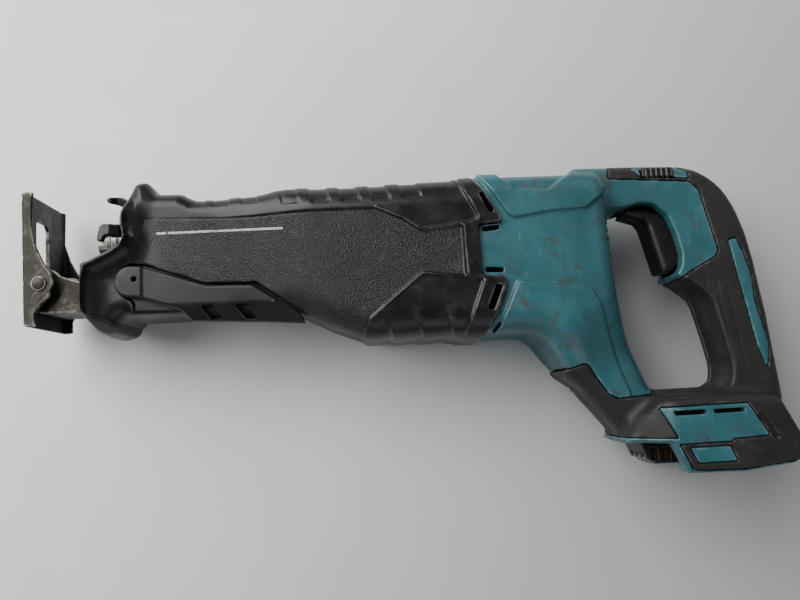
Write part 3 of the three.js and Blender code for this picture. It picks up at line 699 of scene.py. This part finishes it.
PANEL_SLOTS = [
    [(360.8, -112.8, 0.4), (362.3, -115.2, 0.4), (379.6, -115.0, 0.4), (378.6, -112.5, 0.4)],
    [(382.5, -112.7, 0.4), (384.0, -115.0, 0.4), (400.8, -114.4, 0.4), (399.8, -112.2, 0.4)],
]
FOOT_GROOVE = [(407.6, -116.2, 0.6), (416.4, -130.0, 0.6), (418.2, -129.0, 0.6), (409.4, -115.2, 0.6)]
RAISED_BAND = [
    (254, 50), (261.5, 24), (276.5, 0.8, 1), (280.0, -1.4, 2), (298.7, 1.6), (321.6, 3.1, 3),
    (334.7, 13.4, 2), (345, 30), (345, 50), (329, 50), (315.5, 25.7, 3), (300.4, 14.4, 3), (281.5, 14.6, 3),
    (273.3, 24.0), (270, 50),
]
LOWER_PANEL = [
    (280.2, -37.2, 2), (322.0, -43.2, 3), (326.4, -52, 3), (329, -61, 4), (343.5, -101), (343.5, -115),
    (315, -115), (284, -72), (258, -76), (268.6, -62.4),
]
HOUSING_SLOTS = [
    [(261.6, -8.6, 0.8), (261.9, -5.9, 0.8), (271.6, -4.9, 0.8), (271.3, -7.7, 0.8)],
    [(262.4, -31.7, 0.8), (262.4, -28.9, 0.8), (272.6, -29.4, 0.8), (272.6, -32.2, 0.8)],
    [(263.4, -66.9, 0.8), (269.0, -59.6, 0.8), (270.4, -60.4, 0.8), (266.2, -66.4, 0.8)],
]
BUTTON_RECESS = [(357.0, 33.4, 1), (361.6, 26.2, 1.5), (391.6, 24.0, 1.5), (390.6, 30.4, 2), (384.0, 33.4, 1)]
VENTS_Y = [-0.5 - 4.9 * i for i in range(8)]
CHANNEL_ROOF = -126.6  # the upper face of the wall over the battery channel
TRIGGER_SLOT = [(348, 5.8), (361, 0), (363, -3), (369, -32.7), (397.5, -32.7), (397.5, 10.4), (352, 10.4)]
GRIP_HALF = 17.6
FOOT_FRONT = 25.5  # the foot's half width under the strut


def housing_half(x, y):
    """The motor housing's half width, narrowing down the strut to the foot."""
    down_strut = (x - 300) * 0.496 - (y + 60) * 0.868
    return 38.2 - 13.5 * smoothstep(down_strut, 2, 44) - 3.0 * smoothstep(x, 310, 338)


def foot_half(x):
    """The foot is narrow under the strut and as wide as the battery behind it."""
    return FOOT_FRONT + (SIDE - 0.3 - FOOT_FRONT) * smoothstep(x, 338, 364)


def housing_base(v):
    motor = slab(v.flat(MOTOR), v.z, housing_half(v.x, v.y), 12.0)
    handle = slab(v.flat(HANDLE), v.z, GRIP_HALF, 11.0)
    opening = slab(v.flat(GRIP_OPENING), v.z, 60.0, 2.0)
    rounding = smoothstep(np.abs(v.z), 1, 19) * (1.0 + 5.0 * smoothstep(-v.y, 38, 52))
    handle = without(handle, opening - rounding, 2.0)
    foot = slab(v.flat(FOOT), v.z, foot_half(v.x), 4.0)
    return union(union(motor, handle, 5.0), foot, 7.0)


def rubber_flat(v):
    """The flat field of where rubber covers the housing."""
    rubber = v.flat(RUBBER_AREA)
    foot = v.flat(FOOT)
    rim = np.maximum(-1.5 - 1.3 * smoothstep(-v.x, -376, -366) - foot, v.y + 127)
    rim = np.maximum(rim, v.x - 426)
    for bare in (v.flat(GRIP_STRIPE), v.flat(FOOT_PANEL), v.flat(FOOT_BADGE), v.flat(BUTTON_RECESS), rim):
        rubber = without(rubber, bare)
    return rubber


def housing_relief(v):
    relief = 2.0 * inside_step(v.flat(RAISED_BAND), 1.5)
    relief = relief + 1.8 * inside_step(v.flat(LOWER_PANEL), 1.8) * smoothstep(-v.y, 30, 36)
    return relief * smoothstep(v.x, 255, 262) * smoothstep(np.abs(v.z), 16, 26)


def grip_relief(v):
    """Shallow grooves along the grip's side and a thin one round the foot."""
    lean = v.x - 407.0 + 0.13 * (v.y + 60)
    along = smoothstep(v.y, -92, -86) * smoothstep(-v.y, 34, 38)
    relief = 0.0
    for offset in (-9.0, -2.5, 3.5):
        relief = relief - 0.32 * np.exp(-(((lean - offset) / 0.8) ** 2)) * along
    return relief


def housing_fields(v):
    """The fields of the hard housing and of its rubber, both still whole."""
    base = housing_base(v)
    rubber_at = rubber_flat(v)
    outer = base - housing_relief(v)
    hard = union(np.maximum(outer, -rubber_at + SEAM), base + RUBBER + 0.3)
    hard = without(hard, np.maximum(base + HOUSING_WALL, CHANNEL_ROOF - v.y))
    proud = 0.25 + 2.6 * np.exp(-((v.x - 307) ** 2 + (v.y + 92) ** 2) / 60)
    rubber = np.maximum(np.maximum(base - proud - grip_relief(v), rubber_at + SEAM), -(base + RUBBER))
    for cut in housing_cuts(v):
        hard = without(hard, cut)
        rubber = without(rubber, cut)
    return hard, rubber


def housing_cuts(v):
    """The fields of everything cut out of the housing and its rubber."""
    cuts = [
        v.flat(SEAM_LINE) + SEAM - 0.1,
        v.block((345, -142, -31), (450, -131, 31), 0.4),
        v.block((345, -155, -27), (450, -141, 27), 0.4),
        slab(v.flat(TRIGGER_SLOT), v.z, 10.9, 0.5),
        v.block((362.2, 24.9, -25), (382.2, 31.4, 25), 0.4),
    ]
    for node in HOUSING_SCREWS:
        low, high = layout_box(node)
        centre = (low + high) / 2
        cuts.append(v.bar(2, (centre[0], centre[1]), 4.0, -60, low[2] + 3.6, 0.2))
    for flat in PANEL_SLOTS:
        cuts.append(np.maximum(v.flat(flat), SIDE - 5 - np.abs(v.z)))
    for y in VENTS_Y:
        cuts.append(v.block((334.0, y - 1.2, -30), (345, y + 1.2, 30), 0.4))
    for flat in HOUSING_SLOTS:
        cuts.append(np.maximum(v.flat(flat), 24 - np.abs(v.z)))
    cuts.append(np.maximum(v.flat(FOOT_GROOVE), SIDE - 1.6 - np.abs(v.z)))
    return cuts


def make_housing():
    v = Volume((250, 446), (-150, 42), (-42.5, 42.5), 0.76)
    hard, rubber = housing_fields(v)
    teal = worn_plastic("teal_plastic", (0.0225, 0.108, 0.126), grime=0.8, roughness=0.36)
    black = worn_plastic(
        "grip_rubber", (0.0155, 0.0146, 0.0140),
        grime=0.5, roughness=0.5, grain=0.00009, pale=0.08, gloss=0.36,
    )
    for side, z in (("left", SEAM - v.z), ("right", v.z + SEAM)):
        shell = sculpt(f"{side}_shell", v, np.maximum(hard, z), 75000)
        show(shell, teal, "body", [f"{side}_housing"])
        skin = sculpt(f"{side}_grip", v, np.maximum(rubber, z), 60000)
        show(skin, black, "body", [f"{side}_overmould"])


# ---- Small parts ----
LEVER = [
    (54.4, -37, 8), (54.6, -18.6, 8.2), (69, -19.8, 6), (101.5, -30.6, 4), (106, -31.9, 4),
    (131.2, -32.4, 3), (158.0, -49.7, 2), (159.8, -54.8, 0.5), (136, -53.2), (96.4, -51.6, 1),
    (90.0, -44.8, 2), (68, -37.8, 10),
]
LEVER_WINDOWS = [
    [(102.0, -43.0, 1), (108.7, -42.8, 1), (113.8, -51.0, 1), (107.2, -51.0, 1)],
    [(120.8, -43.1, 1), (129.0, -43.0, 1), (132.6, -51.2, 1), (127.0, -51.4, 1)],
]
LEVER_RIB = [(142.6, -42.6), (143.4, -42.4), (146.6, -45.8), (146.0, -46.2)]
LEVER_TOP = 30.4
LEVER_HOLE = (65.4, -27.2)


def make_lever():
    """The shoe-lock lever: a round pad over the pin, then a plate that rolls over the nose's lower edge."""
    v = Volume((51, 163), (-58, -16), (15, 33), 0.5)
    drop = 7.5 * smoothstep(-v.y, 41, 56) + 0.7 * smoothstep(v.x, 68.8, 70.4)
    top = v.z - (LEVER_TOP - drop)
    bottom = (24.9 - 0.9 * drop) - v.z
    flat = v.flat(LEVER)
    lever = overlap(flat, top, 1.8)
    lever = np.maximum(lever, bottom)
    for window in LEVER_WINDOWS:
        recess = np.maximum(v.flat(window), LEVER_TOP - drop - 4.2 - v.z)
        lever = without(lever, recess, 0.5)
    ridge = np.abs(v.flat(LEVER_RIB)) - 0.3
    lever = union(lever, np.maximum(ridge, np.abs(top) - 0.5), 0.8)
    lever = without(lever, v.bar(2, LEVER_HOLE, 1.35, 26, 40, 0.1))
    lever = without(lever, v.bar(2, LEVER_PIN, 4.2, 15, 27.6, 0.1))
    plastic = worn_plastic(
        "lever_plastic", (0.0080, 0.0086, 0.0098),
        grime=0.2, roughness=0.36, grain=0.00004, pale=0.07, gloss=0.34,
    )
    lever = sculpt("shoe_lever", v, lever, 22000)
    show(lever, plastic, "shoe_lock", ["shoe_lock_lever"])


def make_lever_pin(steel_look):
    low, high = layout_box("lever_pivot_pin")
    x, y = (low[0] + high[0]) / 2, (low[1] + high[1]) / 2
    v = Volume((x - 5, x + 5), (y - 5, y + 5), (low[2] - 1, 28.5), 0.3)
    pin = v.bar(2, (x, y), 3.9, low[2], 25.2, 0.5)
    groove = overlap(v.bar(2, (x, y), 6, 21, 22, 0.1), -v.bar(2, (x, y), 3.4, 18, 26, 0.1))
    pin = sculpt("lever_pin", v, without(pin, groove), 3000)
    show(pin, steel_look, "body", ["lever_pivot_pin"])


SHOE_EAR = [  # the lower part of both flanges, up to the top of the ear round the pivot
    (3.9, -51.3, 1), (9.2, -51.1, 1), (8.8, -44, 3), (12, -38.6, 3), (16.8, -34.6, 5), (19.1, -27.2, 6),
    (17.0, -20.6, 6), (12.9, -14.6, 5),
]
SHOE_FRONT = [(-3, 27.0), (-3, -51.3)]
SHOE_FLANGE = [*SHOE_EAR, (8.3, -4.9, 12), (5.8, 8.6, 20), (6.3, 26.7, 0.8), *SHOE_FRONT]
FAR_FLANGE = [*SHOE_EAR, (7.3, -4.9, 8), (3.4, 6, 3), (3.4, 26.7, 0.8), *SHOE_FRONT]
SHOE_Z = (-29.0, 26.2)
SHOE_WALL, SHOE_BEND = 2.8, 3.0
SHOE_PIVOT = (11, -27)
RIVET_HOLE = 3.1
WINDOW_Y, WINDOW_Z = (-14.0, 13.2), (-5.4, 11.2)


def shoe_front(y):
    """How far back the shoe's face lies at a height: it leans back towards the bottom."""
    return 0.036 * (26.5 - y) - 0.8


def make_shoe():
    """A bent steel shoe: a face with a blade window and a flange on each side."""
    v = Volume((-3, 22), (-54, 29), (-31, 28), 0.42)
    middle, half = (SHOE_Z[0] + SHOE_Z[1]) / 2, (SHOE_Z[1] - SHOE_Z[0]) / 2
    sides = np.abs(v.z - middle) - half
    flat = np.where(v.z > 0, v.flat(SHOE_FLANGE), v.flat(FAR_FLANGE))
    shoe = slab(flat, v.z - middle, half, 0.7)
    u, w = shoe_front(v.y) - v.x + SHOE_BEND, sides + SHOE_BEND
    bent = np.hypot(np.maximum(u, 0), np.maximum(w, 0)) + np.minimum(np.maximum(u, w), 0) - SHOE_BEND
    shoe = overlap(shoe, bent, 2.6)
    shoe = without(shoe, overlap(sides + SHOE_WALL, shoe_front(v.y) + SHOE_WALL - v.x, 2.5), 0.5)
    window = polygon([(y, z, 4) for y in WINDOW_Y for z in (WINDOW_Z if y < 0 else WINDOW_Z[::-1])], v.y, v.z)
    shoe = without(shoe, np.maximum(window, v.x - 12), 0.8)
    shoe = without(shoe, v.bar(2, SHOE_PIVOT, RIVET_HOLE, -40, 40))
    dents = 0.25 * smoothstep(np.sin(0.9 * v.y + 1.3 * v.z) + np.sin(0.37 * v.y - 0.8 * v.z), 0.6, 1.8)
    look = steel("worn_steel", (0.060, 0.060, 0.050), (0.020, 0.015, 0.011), 0.9, roughness=0.30)
    shoe = sculpt("shoe_plate", v, shoe + dents * np.exp(-((v.x / 2.0) ** 2)), 30000)
    show(shoe, look, "shoe", ["shoe"])
    return look


ARM_SIDE = [
    (6.4, -43, 3), (100, -43, 1), (100, -26.4, 1), (34, -26.4, 12), (22.8, -22.9, 8), (14, -20.0),
    (6.4, -24),
]
ARM_HALF, ARM_FLOOR = 18, -43


def make_arm(look):
    """The sliding arm: a channel with an ear on each side of the shoe's pivot."""
    v = Volume((3, 103), (-45, -14), (-20, 20), 0.5)
    x, y = SHOE_PIVOT
    ear = np.hypot(v.x - x, v.y - y) - 9.8
    side = union(ear, v.flat(ARM_SIDE), 1.0)
    lean = math.radians(25)
    swing = -(v.x - x) * math.cos(lean) + (v.y - y) * math.sin(lean) - 5.0
    side = np.maximum(np.maximum(side, swing), x - 4.9 - v.x)
    side = np.maximum(side, ARM_FLOOR - v.y)
    arm = slab(side, v.z, ARM_HALF, 0.8)
    arm = without(arm, v.block((-10, -40.4, -15.4), (120, 10, 15.4), 2.0))
    arm = without(arm, v.bar(2, SHOE_PIVOT, RIVET_HOLE, -30, 30))
    for hole_x in (52, 66, 80):
        arm = without(arm, v.bar(1, (hole_x, 0), 3.2, -50, -30, 0.3))
    show(sculpt("shoe_slide_arm", v, arm, 20000), look, "shoe_arm", ["shoe_arm"])


def make_rivet(look):
    """The rivet through the shoe and the arm, with a domed head on each side."""
    x, y = SHOE_PIVOT
    v = Volume((x - 7, x + 7), (y - 7, y + 7), (-32.5, 30), 0.4)
    pin = v.bar(2, SHOE_PIVOT, 3.0, -29.4, 26.6, 0.3)
    for z, out in ((SHOE_Z[1], 1), (SHOE_Z[0], -1)):
        ball = np.sqrt((v.x - x) ** 2 + (v.y - y) ** 2 + (v.z - z + out * 11.4) ** 2) - 12.6
        head = np.maximum(ball, out * (z + 0.15 * out - v.z))
        pin = union(pin, head, 0.3)
    show(sculpt("shoe_rivet", v, pin, 8000), look, "shoe_arm", ["shoe_pivot_pin"])


TAB_TURNS = (14, 84)  # where the two tabs point, in degrees from the top towards the left side
TAB_SIDE = [
    (59.6, 18), (59.6, 21.2, 1), (55, 25.0, 2), (50.4, 27.5, 2), (45.5, 27.6, 1.2), (43.2, 26.6, 0.8),
    (44.4, 24.2, 0.8), (50, 22.4, 3), (55, 19.6),
]
TAB_FACE = [
    (59.6, -3.2), (46.6, -3.2, 1.2), (44.6, -1.6, 1), (42.8, 6.6, 0.6), (46.6, 7.0, 0.8), (47.8, 3.6, 2),
    (59.6, 3.2),
]


def make_clamp(steel_look, black_look):
    """The blade clamp: a steel barrel and two black tabs that reach out of the boot."""
    v = Volume((38, 60), (-14, 23), (-14, 23), 0.4)
    radius = np.hypot(v.y, v.z)
    turned = 12 - 2.2 * smoothstep(-v.x, -46.5, -44.5) - 0.5 * smoothstep(-np.abs(v.x - 50.2), -0.9, -0.5)
    hub = slab(radius - turned, v.x - 49, 7, 0.8)
    for turn in np.radians(np.arange(0, 360, 40)):
        groove = np.hypot(v.y - 12.4 * math.cos(turn), v.z - 12.4 * math.sin(turn)) - 1.1
        hub = without(hub, np.maximum(groove, 46.5 - v.x), 0.4)
    hub = without(hub, v.bar(0, (0, 0), 8.15, 30, 70, 0.1))
    show(sculpt("clamp_hub", v, hub, 12000), steel_look, "clamp_sleeve", ["clamp_sleeve"])
    v = Volume((41, 63), (-16, 30), (-12, 30), 0.42)
    tabs = overlap(v.bar(0, (0, 0), 14.5, 56, 59.6, 0.6), -v.bar(0, (0, 0), 12.2, 40, 70, 0.1))
    for turn in TAB_TURNS:
        c, d = math.cos(math.radians(turn)), math.sin(math.radians(turn))
        out, across = c * v.y + d * v.z, c * v.z - d * v.y
        spoke = slab(polygon([(56, 12), (59.6, 12), (59.6, 21.6), (56, 21.6)], v.x, out), across, 3.2, 0.5)
        finger = overlap(polygon(TAB_SIDE, v.x, out), polygon(TAB_FACE, v.x, across), 0.8)
        tabs = union(tabs, union(spoke, finger, 1.0), 0.6)
    show(sculpt("clamp_tabs", v, tabs, 14000), black_look, "clamp_sleeve")


TRIGGER = [
    (352.2, 4.9, 0.8), (362.8, 1.5, 3), (365.6, -2.2, 6), (372.9, -31.4, 1.5), (380, -31.2, 2),
    (391, -26, 1), (391, 2, 1), (378, 6.4, 4), (366.6, 9.4, 5), (354, 8.7, 2),
]


def make_trigger(look):
    v = Volume((347, 394), (-34, 12), (-12.5, 12.5), 0.4)
    flat = v.flat(TRIGGER)
    trigger = slab(flat, v.z, 10.6, 4.6)
    waist = slab(flat + 0.8, v.z, 9.4, 1.0)
    trigger = union(trigger, np.maximum(waist, 374 - v.x), 0.6)
    show(sculpt("trigger_paddle", v, trigger, 14000), look, "trigger", ["trigger"])


def make_button(look):
    """The lock-off button: a bar through the handle with ribs across both ends."""
    low, high = layout_box("lock_off_button")
    v = Volume((low[0] - 1, high[0] + 1), (low[1] - 1, high[1] + 1.5), (low[2] - 1, high[2] + 1), 0.35)
    top = high[1] + 0.2
    bar = v.block((low[0], low[1], low[2] + 0.2), (high[0], top, high[2] - 0.2), 1.2)
    wave = ((v.x - low[0] - 1.6) / 3.15) % 1.0
    groove = 0.75 * smoothstep(-np.abs(wave - 0.5), -0.5, -0.12)
    ends = smoothstep(np.abs(v.z), high[2] - 7, high[2] - 5) * (v.x > low[0] + 1.4) * (v.x < high[0] - 1.4)
    button = sculpt("lock_button", v, bar + 0.75 * ends - groove * ends, 16000)
    show(button, look, "lock_off", ["lock_off_button"])


TERMINALS = [f"battery_terminal_{name}" for name in ("plus", "signal", "minus")]
BLOCK_POCKETS = ((8.5, 3.4, 3.2), (14.5, 5.0, 6.4), (22.5, 5.0, 6.4))  # from the front: place, length, depth


def make_terminals(look, metal):
    """The terminal block with its pockets, and a bevelled blade in each of its slots."""
    low, high = layout_box("battery_terminal_block")
    v = Volume((low[0] - 1, high[0] + 1), (low[1] - 1, high[1] + 1), (low[2] - 1, high[2] + 1), 0.4)
    front, bottom = low[:2]
    side = [
        (front + 2.6, high[1]), (front + 6.4, bottom + 2, 1), (front + 9, bottom, 1), (high[0], bottom, 1),
        (high[0], high[1]),
    ]
    block = slab(v.flat(side), v.z - (low[2] + high[2]) / 2, (high[2] - low[2]) / 2, 0.8)
    for x, length, depth in BLOCK_POCKETS:
        for edge in (-high[2], high[2]):
            a = (front + x, bottom + 2.2, edge - depth)
            b = (front + x + length, high[1] - 2.4, edge + depth)
            block = without(block, v.block(a, b, 0.5), 0.3)
    block = without(block, v.block((front + 6, bottom - 2, -20), (front + 10, bottom + 2.4, 20), 0.4))
    for node in TERMINALS:
        a, b = layout_box(node)
        z = (a[2] + b[2]) / 2
        slot = v.block((a[0] - 1, bottom - 5, z - 1.5), (b[0] + 6, b[1] + 0.5, z + 1.5), 0.3)
        block = without(block, slot)
        t = Volume((a[0] - 1, b[0] + 1), (a[1] - 1, b[1] + 1), (a[2] - 0.6, b[2] + 0.6), 0.2)
        blade = [(a[0], a[1] + 2), (a[0] + 4, a[1], 1), (b[0], a[1]), (b[0], b[1]), (a[0], b[1])]
        blade = t.plate(blade, 0.4, 0.15, z)
        show(sculpt(f"{node}_blade", t, blade, 1500), metal, "body", [node])
    show(sculpt("terminal_block", v, block, 12000), look, "body", ["battery_terminal_block"])


CASE_SCREWS = [f"case_screw_{i}" for i in range(1, 5)]
HOUSING_SCREWS = [f"housing_screw_{i}" for i in range(1, 8)]


def make_screw(node, look):
    """A screw with a star socket in its head, which faces the saw's right side."""
    low, high = layout_box(node)
    x, y = (low[0] + high[0]) / 2, (low[1] + high[1]) / 2
    v = Volume((x - 4, x + 4), (y - 4, y + 4), (low[2] - 0.5, high[2] + 0.5), 0.33)
    angle, radius = np.arctan2(v.y - y, v.x - x), np.hypot(v.x - x, v.y - y)
    head = slab(radius - 3.4, v.z - low[2] - 1.7, 1.7, 0.7)
    socket = np.maximum(radius - 1.75 - 0.28 * np.cos(6 * angle), v.z - low[2] - 1.5)
    turn = (angle / math.tau + (v.z / 1.6)) % 1.0
    thread = 1.55 + 0.36 * (1 - np.abs(2 * turn - 1)) * (v.z > low[2] + 8)
    shank = slab(radius - thread, v.z - (low[2] + high[2] + 2) / 2, (high[2] - low[2] - 2) / 2, 0.4)
    screw = union(without(head, socket), shank)
    show(sculpt(f"{node}_steel", v, screw, 5000), look, "body", [node])


LENS = [(40.6, -50.4, 1), (43.6, -53.6, 2), (50.2, -49.4, 1), (47.6, -46.4, 1)]


def make_lens():
    """The lamp's clear lens, slightly dirty."""
    low, high = layout_box("led_lens")
    v = Volume((low[0] - 2, high[0] + 2), (low[1] - 2, high[1] + 2), (low[2] - 1, high[2] + 1), 0.3)
    lens = v.plate(LENS, 6.8, 0.8)
    s = Shader("clear_lens")
    tint = s.mix(s.band(s.noise(300, 3.0), 0.4, 0.7), (0.82, 0.85, 0.86), (0.55, 0.53, 0.48))
    look = s.done(tint, s.band(s.noise(200, 3.0), 0.3, 0.7, 0.12, 0.3), IOR=1.5, Transmission_Weight=0.7)
    show(sculpt("lamp_lens", v, lens, 4000), look, "body", ["led_lens"])


def coat(look, *nodes):
    """Gives CAD nodes inside the saw a material."""
    for node in nodes:
        mesh = bpy.data.objects[node].data
        mesh.materials.clear()
        mesh.materials.append(look)


def coat_inner_nodes(bright, black):
    """Materials for the CAD nodes that stay as they are."""
    aluminium = steel("cast_aluminium", (0.50, 0.50, 0.50), (0.22, 0.21, 0.20), 0.35, 0.5, 0.00006)
    bronze = steel("sintered_bronze", (0.42, 0.27, 0.12), (0.20, 0.12, 0.05), 0.3, 0.45)
    core = steel("electrical_steel", (0.16, 0.16, 0.17), (0.07, 0.06, 0.06), 0.3, 0.5)
    winding = steel("winding_copper", (0.48, 0.19, 0.085), (0.26, 0.09, 0.04), 0.25, 0.35)
    board = worn_plastic("board_green", (0.020, 0.085, 0.045), grime=0.1, roughness=0.4)
    seal = worn_plastic("seal_rubber", (0.018, 0.018, 0.018), grime=0.1, roughness=0.6)
    coat(aluminium, "gear_case_left", "gear_case_right")
    coat(bright, *CASE_SCREWS, "clamp_pin", "clamp_collar", "crank_gear", "rotor_shaft")
    coat(bright, "upper_crank_bearing", "lower_crank_bearing", "front_rotor_bearing", "rear_rotor_bearing")
    coat(bronze, "front_plunger_bushing", "rear_plunger_bushing")
    coat(core, "motor_stator", "rotor_core")
    coat(winding, "front_winding", "rear_winding")
    coat(board, "motor_sensor_board")
    coat(seal, "plunger_seal")
    coat(black, "switch_body", "cooling_fan", "controller_module")


def make_small_parts():
    bright = steel("bright_steel", (0.42, 0.41, 0.39), (0.14, 0.11, 0.09), 0.45, roughness=0.33)
    black = worn_plastic(
        "black_plastic", (0.0065, 0.0065, 0.0068),
        grime=0.2, roughness=0.36, grain=0.00004, pale=0.08, gloss=0.36,
    )
    copper = steel("copper", (0.30, 0.17, 0.085), (0.12, 0.07, 0.04), 0.6, roughness=0.42)
    make_lever()
    make_lever_pin(bright)
    worn = make_shoe()
    make_arm(worn)
    make_rivet(worn)
    dull = steel("dull_steel", (0.17, 0.175, 0.15), (0.06, 0.055, 0.045), 0.6, roughness=0.42)
    make_clamp(dull, black)
    coat(dull, "plunger")
    make_trigger(black)
    make_button(black)
    make_terminals(black, copper)
    for node in HOUSING_SCREWS:
        make_screw(node, bright)
    make_lens()
    coat_inner_nodes(bright, black)


# ---- Stage ----
CAMERA = (200.46, -97.26, 444.0)  # the lens in the saw's own layout
AIM = (215.1, -40.8, 0.0)
FOCAL_MM = 33.3
CAMERA_ROLL = -2.18  # degrees


def make_camera():
    camera = bpy.data.objects.new("camera", bpy.data.cameras.new("camera"))
    bpy.context.scene.collection.objects.link(camera)
    camera.data.lens = FOCAL_MM
    camera.data.clip_start = 0.01
    location, aim = (Vector(point) for point in place([CAMERA, AIM]))
    back = (location - aim).normalized()
    roll = math.radians(CAMERA_ROLL)
    right = Vector((math.cos(roll), math.sin(roll), 0))
    right = (right - back * right.dot(back)).normalized()
    turn = Matrix((right, back.cross(right), back)).transposed()
    camera.location = location
    camera.rotation_mode = "QUATERNION"
    camera.rotation_quaternion = turn.to_quaternion()
    bpy.context.scene.camera = camera


def make_floor():
    """A pale, faintly marked board, with painted shade that darkens it towards one corner."""
    corners = np.array([(-3, -3, 0), (3, -3, 0), (3, 3, 0), (-3, 3, 0)])
    mesh = new_mesh("floor", corners, np.array([(0, 1, 2, 3)]))
    floor = bpy.data.objects.new("floor", mesh)
    bpy.context.scene.collection.objects.link(floor)
    s = Shader("floor_board")
    cloud = s.band(s.noise(6, 4.0, 0.6), 0.35, 0.65)
    colour = s.mix(cloud, (0.72, 0.72, 0.735), (0.76, 0.76, 0.77))
    axes = s.add("ShaderNodeSeparateXYZ")
    s.put(axes.inputs[0], s.point)
    # Painted shade: the board's colour darkens towards +x and -y, away from the window lamp, in place of
    # light falling off across the floor.
    across = s.math("SUBTRACT", axes.outputs[0], s.math("MULTIPLY", axes.outputs[1], 0.7))
    colour = s.mix(s.band(across, -0.30, 0.42), colour, (0.40, 0.40, 0.40))
    smudge = s.math("MULTIPLY", s.band(s.noise(14, 6.0, 0.7), 0.62, 0.75), 0.25)
    colour = s.mix(smudge, colour, (0.50, 0.49, 0.48))
    rough = s.band(s.noise(20, 3.0), 0.3, 0.7, 0.45, 0.6)
    mesh.materials.append(s.done(colour, rough, normal=s.bump(s.noise(900, 3.0), 0.00002)))


def make_light(name, kind, location, aim, energy, size, colour=(1, 1, 1)):
    data = bpy.data.lights.new(name, kind)
    data.energy = energy
    data.color = colour
    if kind == "AREA":
        data.shape = "RECTANGLE"
        data.size, data.size_y = size
    light = bpy.data.objects.new(name, data)
    light.location = location
    light.rotation_mode = "QUATERNION"
    light.rotation_quaternion = (Vector(aim) - Vector(location)).to_track_quat("-Z", "Y")
    bpy.context.scene.collection.objects.link(light)


def make_lights():
    make_light("window", "AREA", (-0.78, 0.60, 0.90), (0, 0, 0), 38, (1.5, 1.2), (1.0, 0.995, 0.98))
    make_light("far_window", "AREA", (0.95, 0.75, 0.80), (0, 0, 0), 2.2, (1.2, 0.9), (0.97, 0.98, 1.0))
    make_light("room", "AREA", (0.6, -1.5, 0.9), (0, 0, 0), 6, (1.8, 1.0), (0.93, 0.96, 1.0))
    world = bpy.data.worlds.new("room")
    world.use_nodes = True
    world.node_tree.nodes["Background"].inputs["Color"].default_value = (0.86, 0.88, 0.92, 1)
    world.node_tree.nodes["Background"].inputs["Strength"].default_value = 0.20
    bpy.context.scene.world = world


make_boot()
make_housing()
make_small_parts()
make_floor()
make_lights()
make_camera()
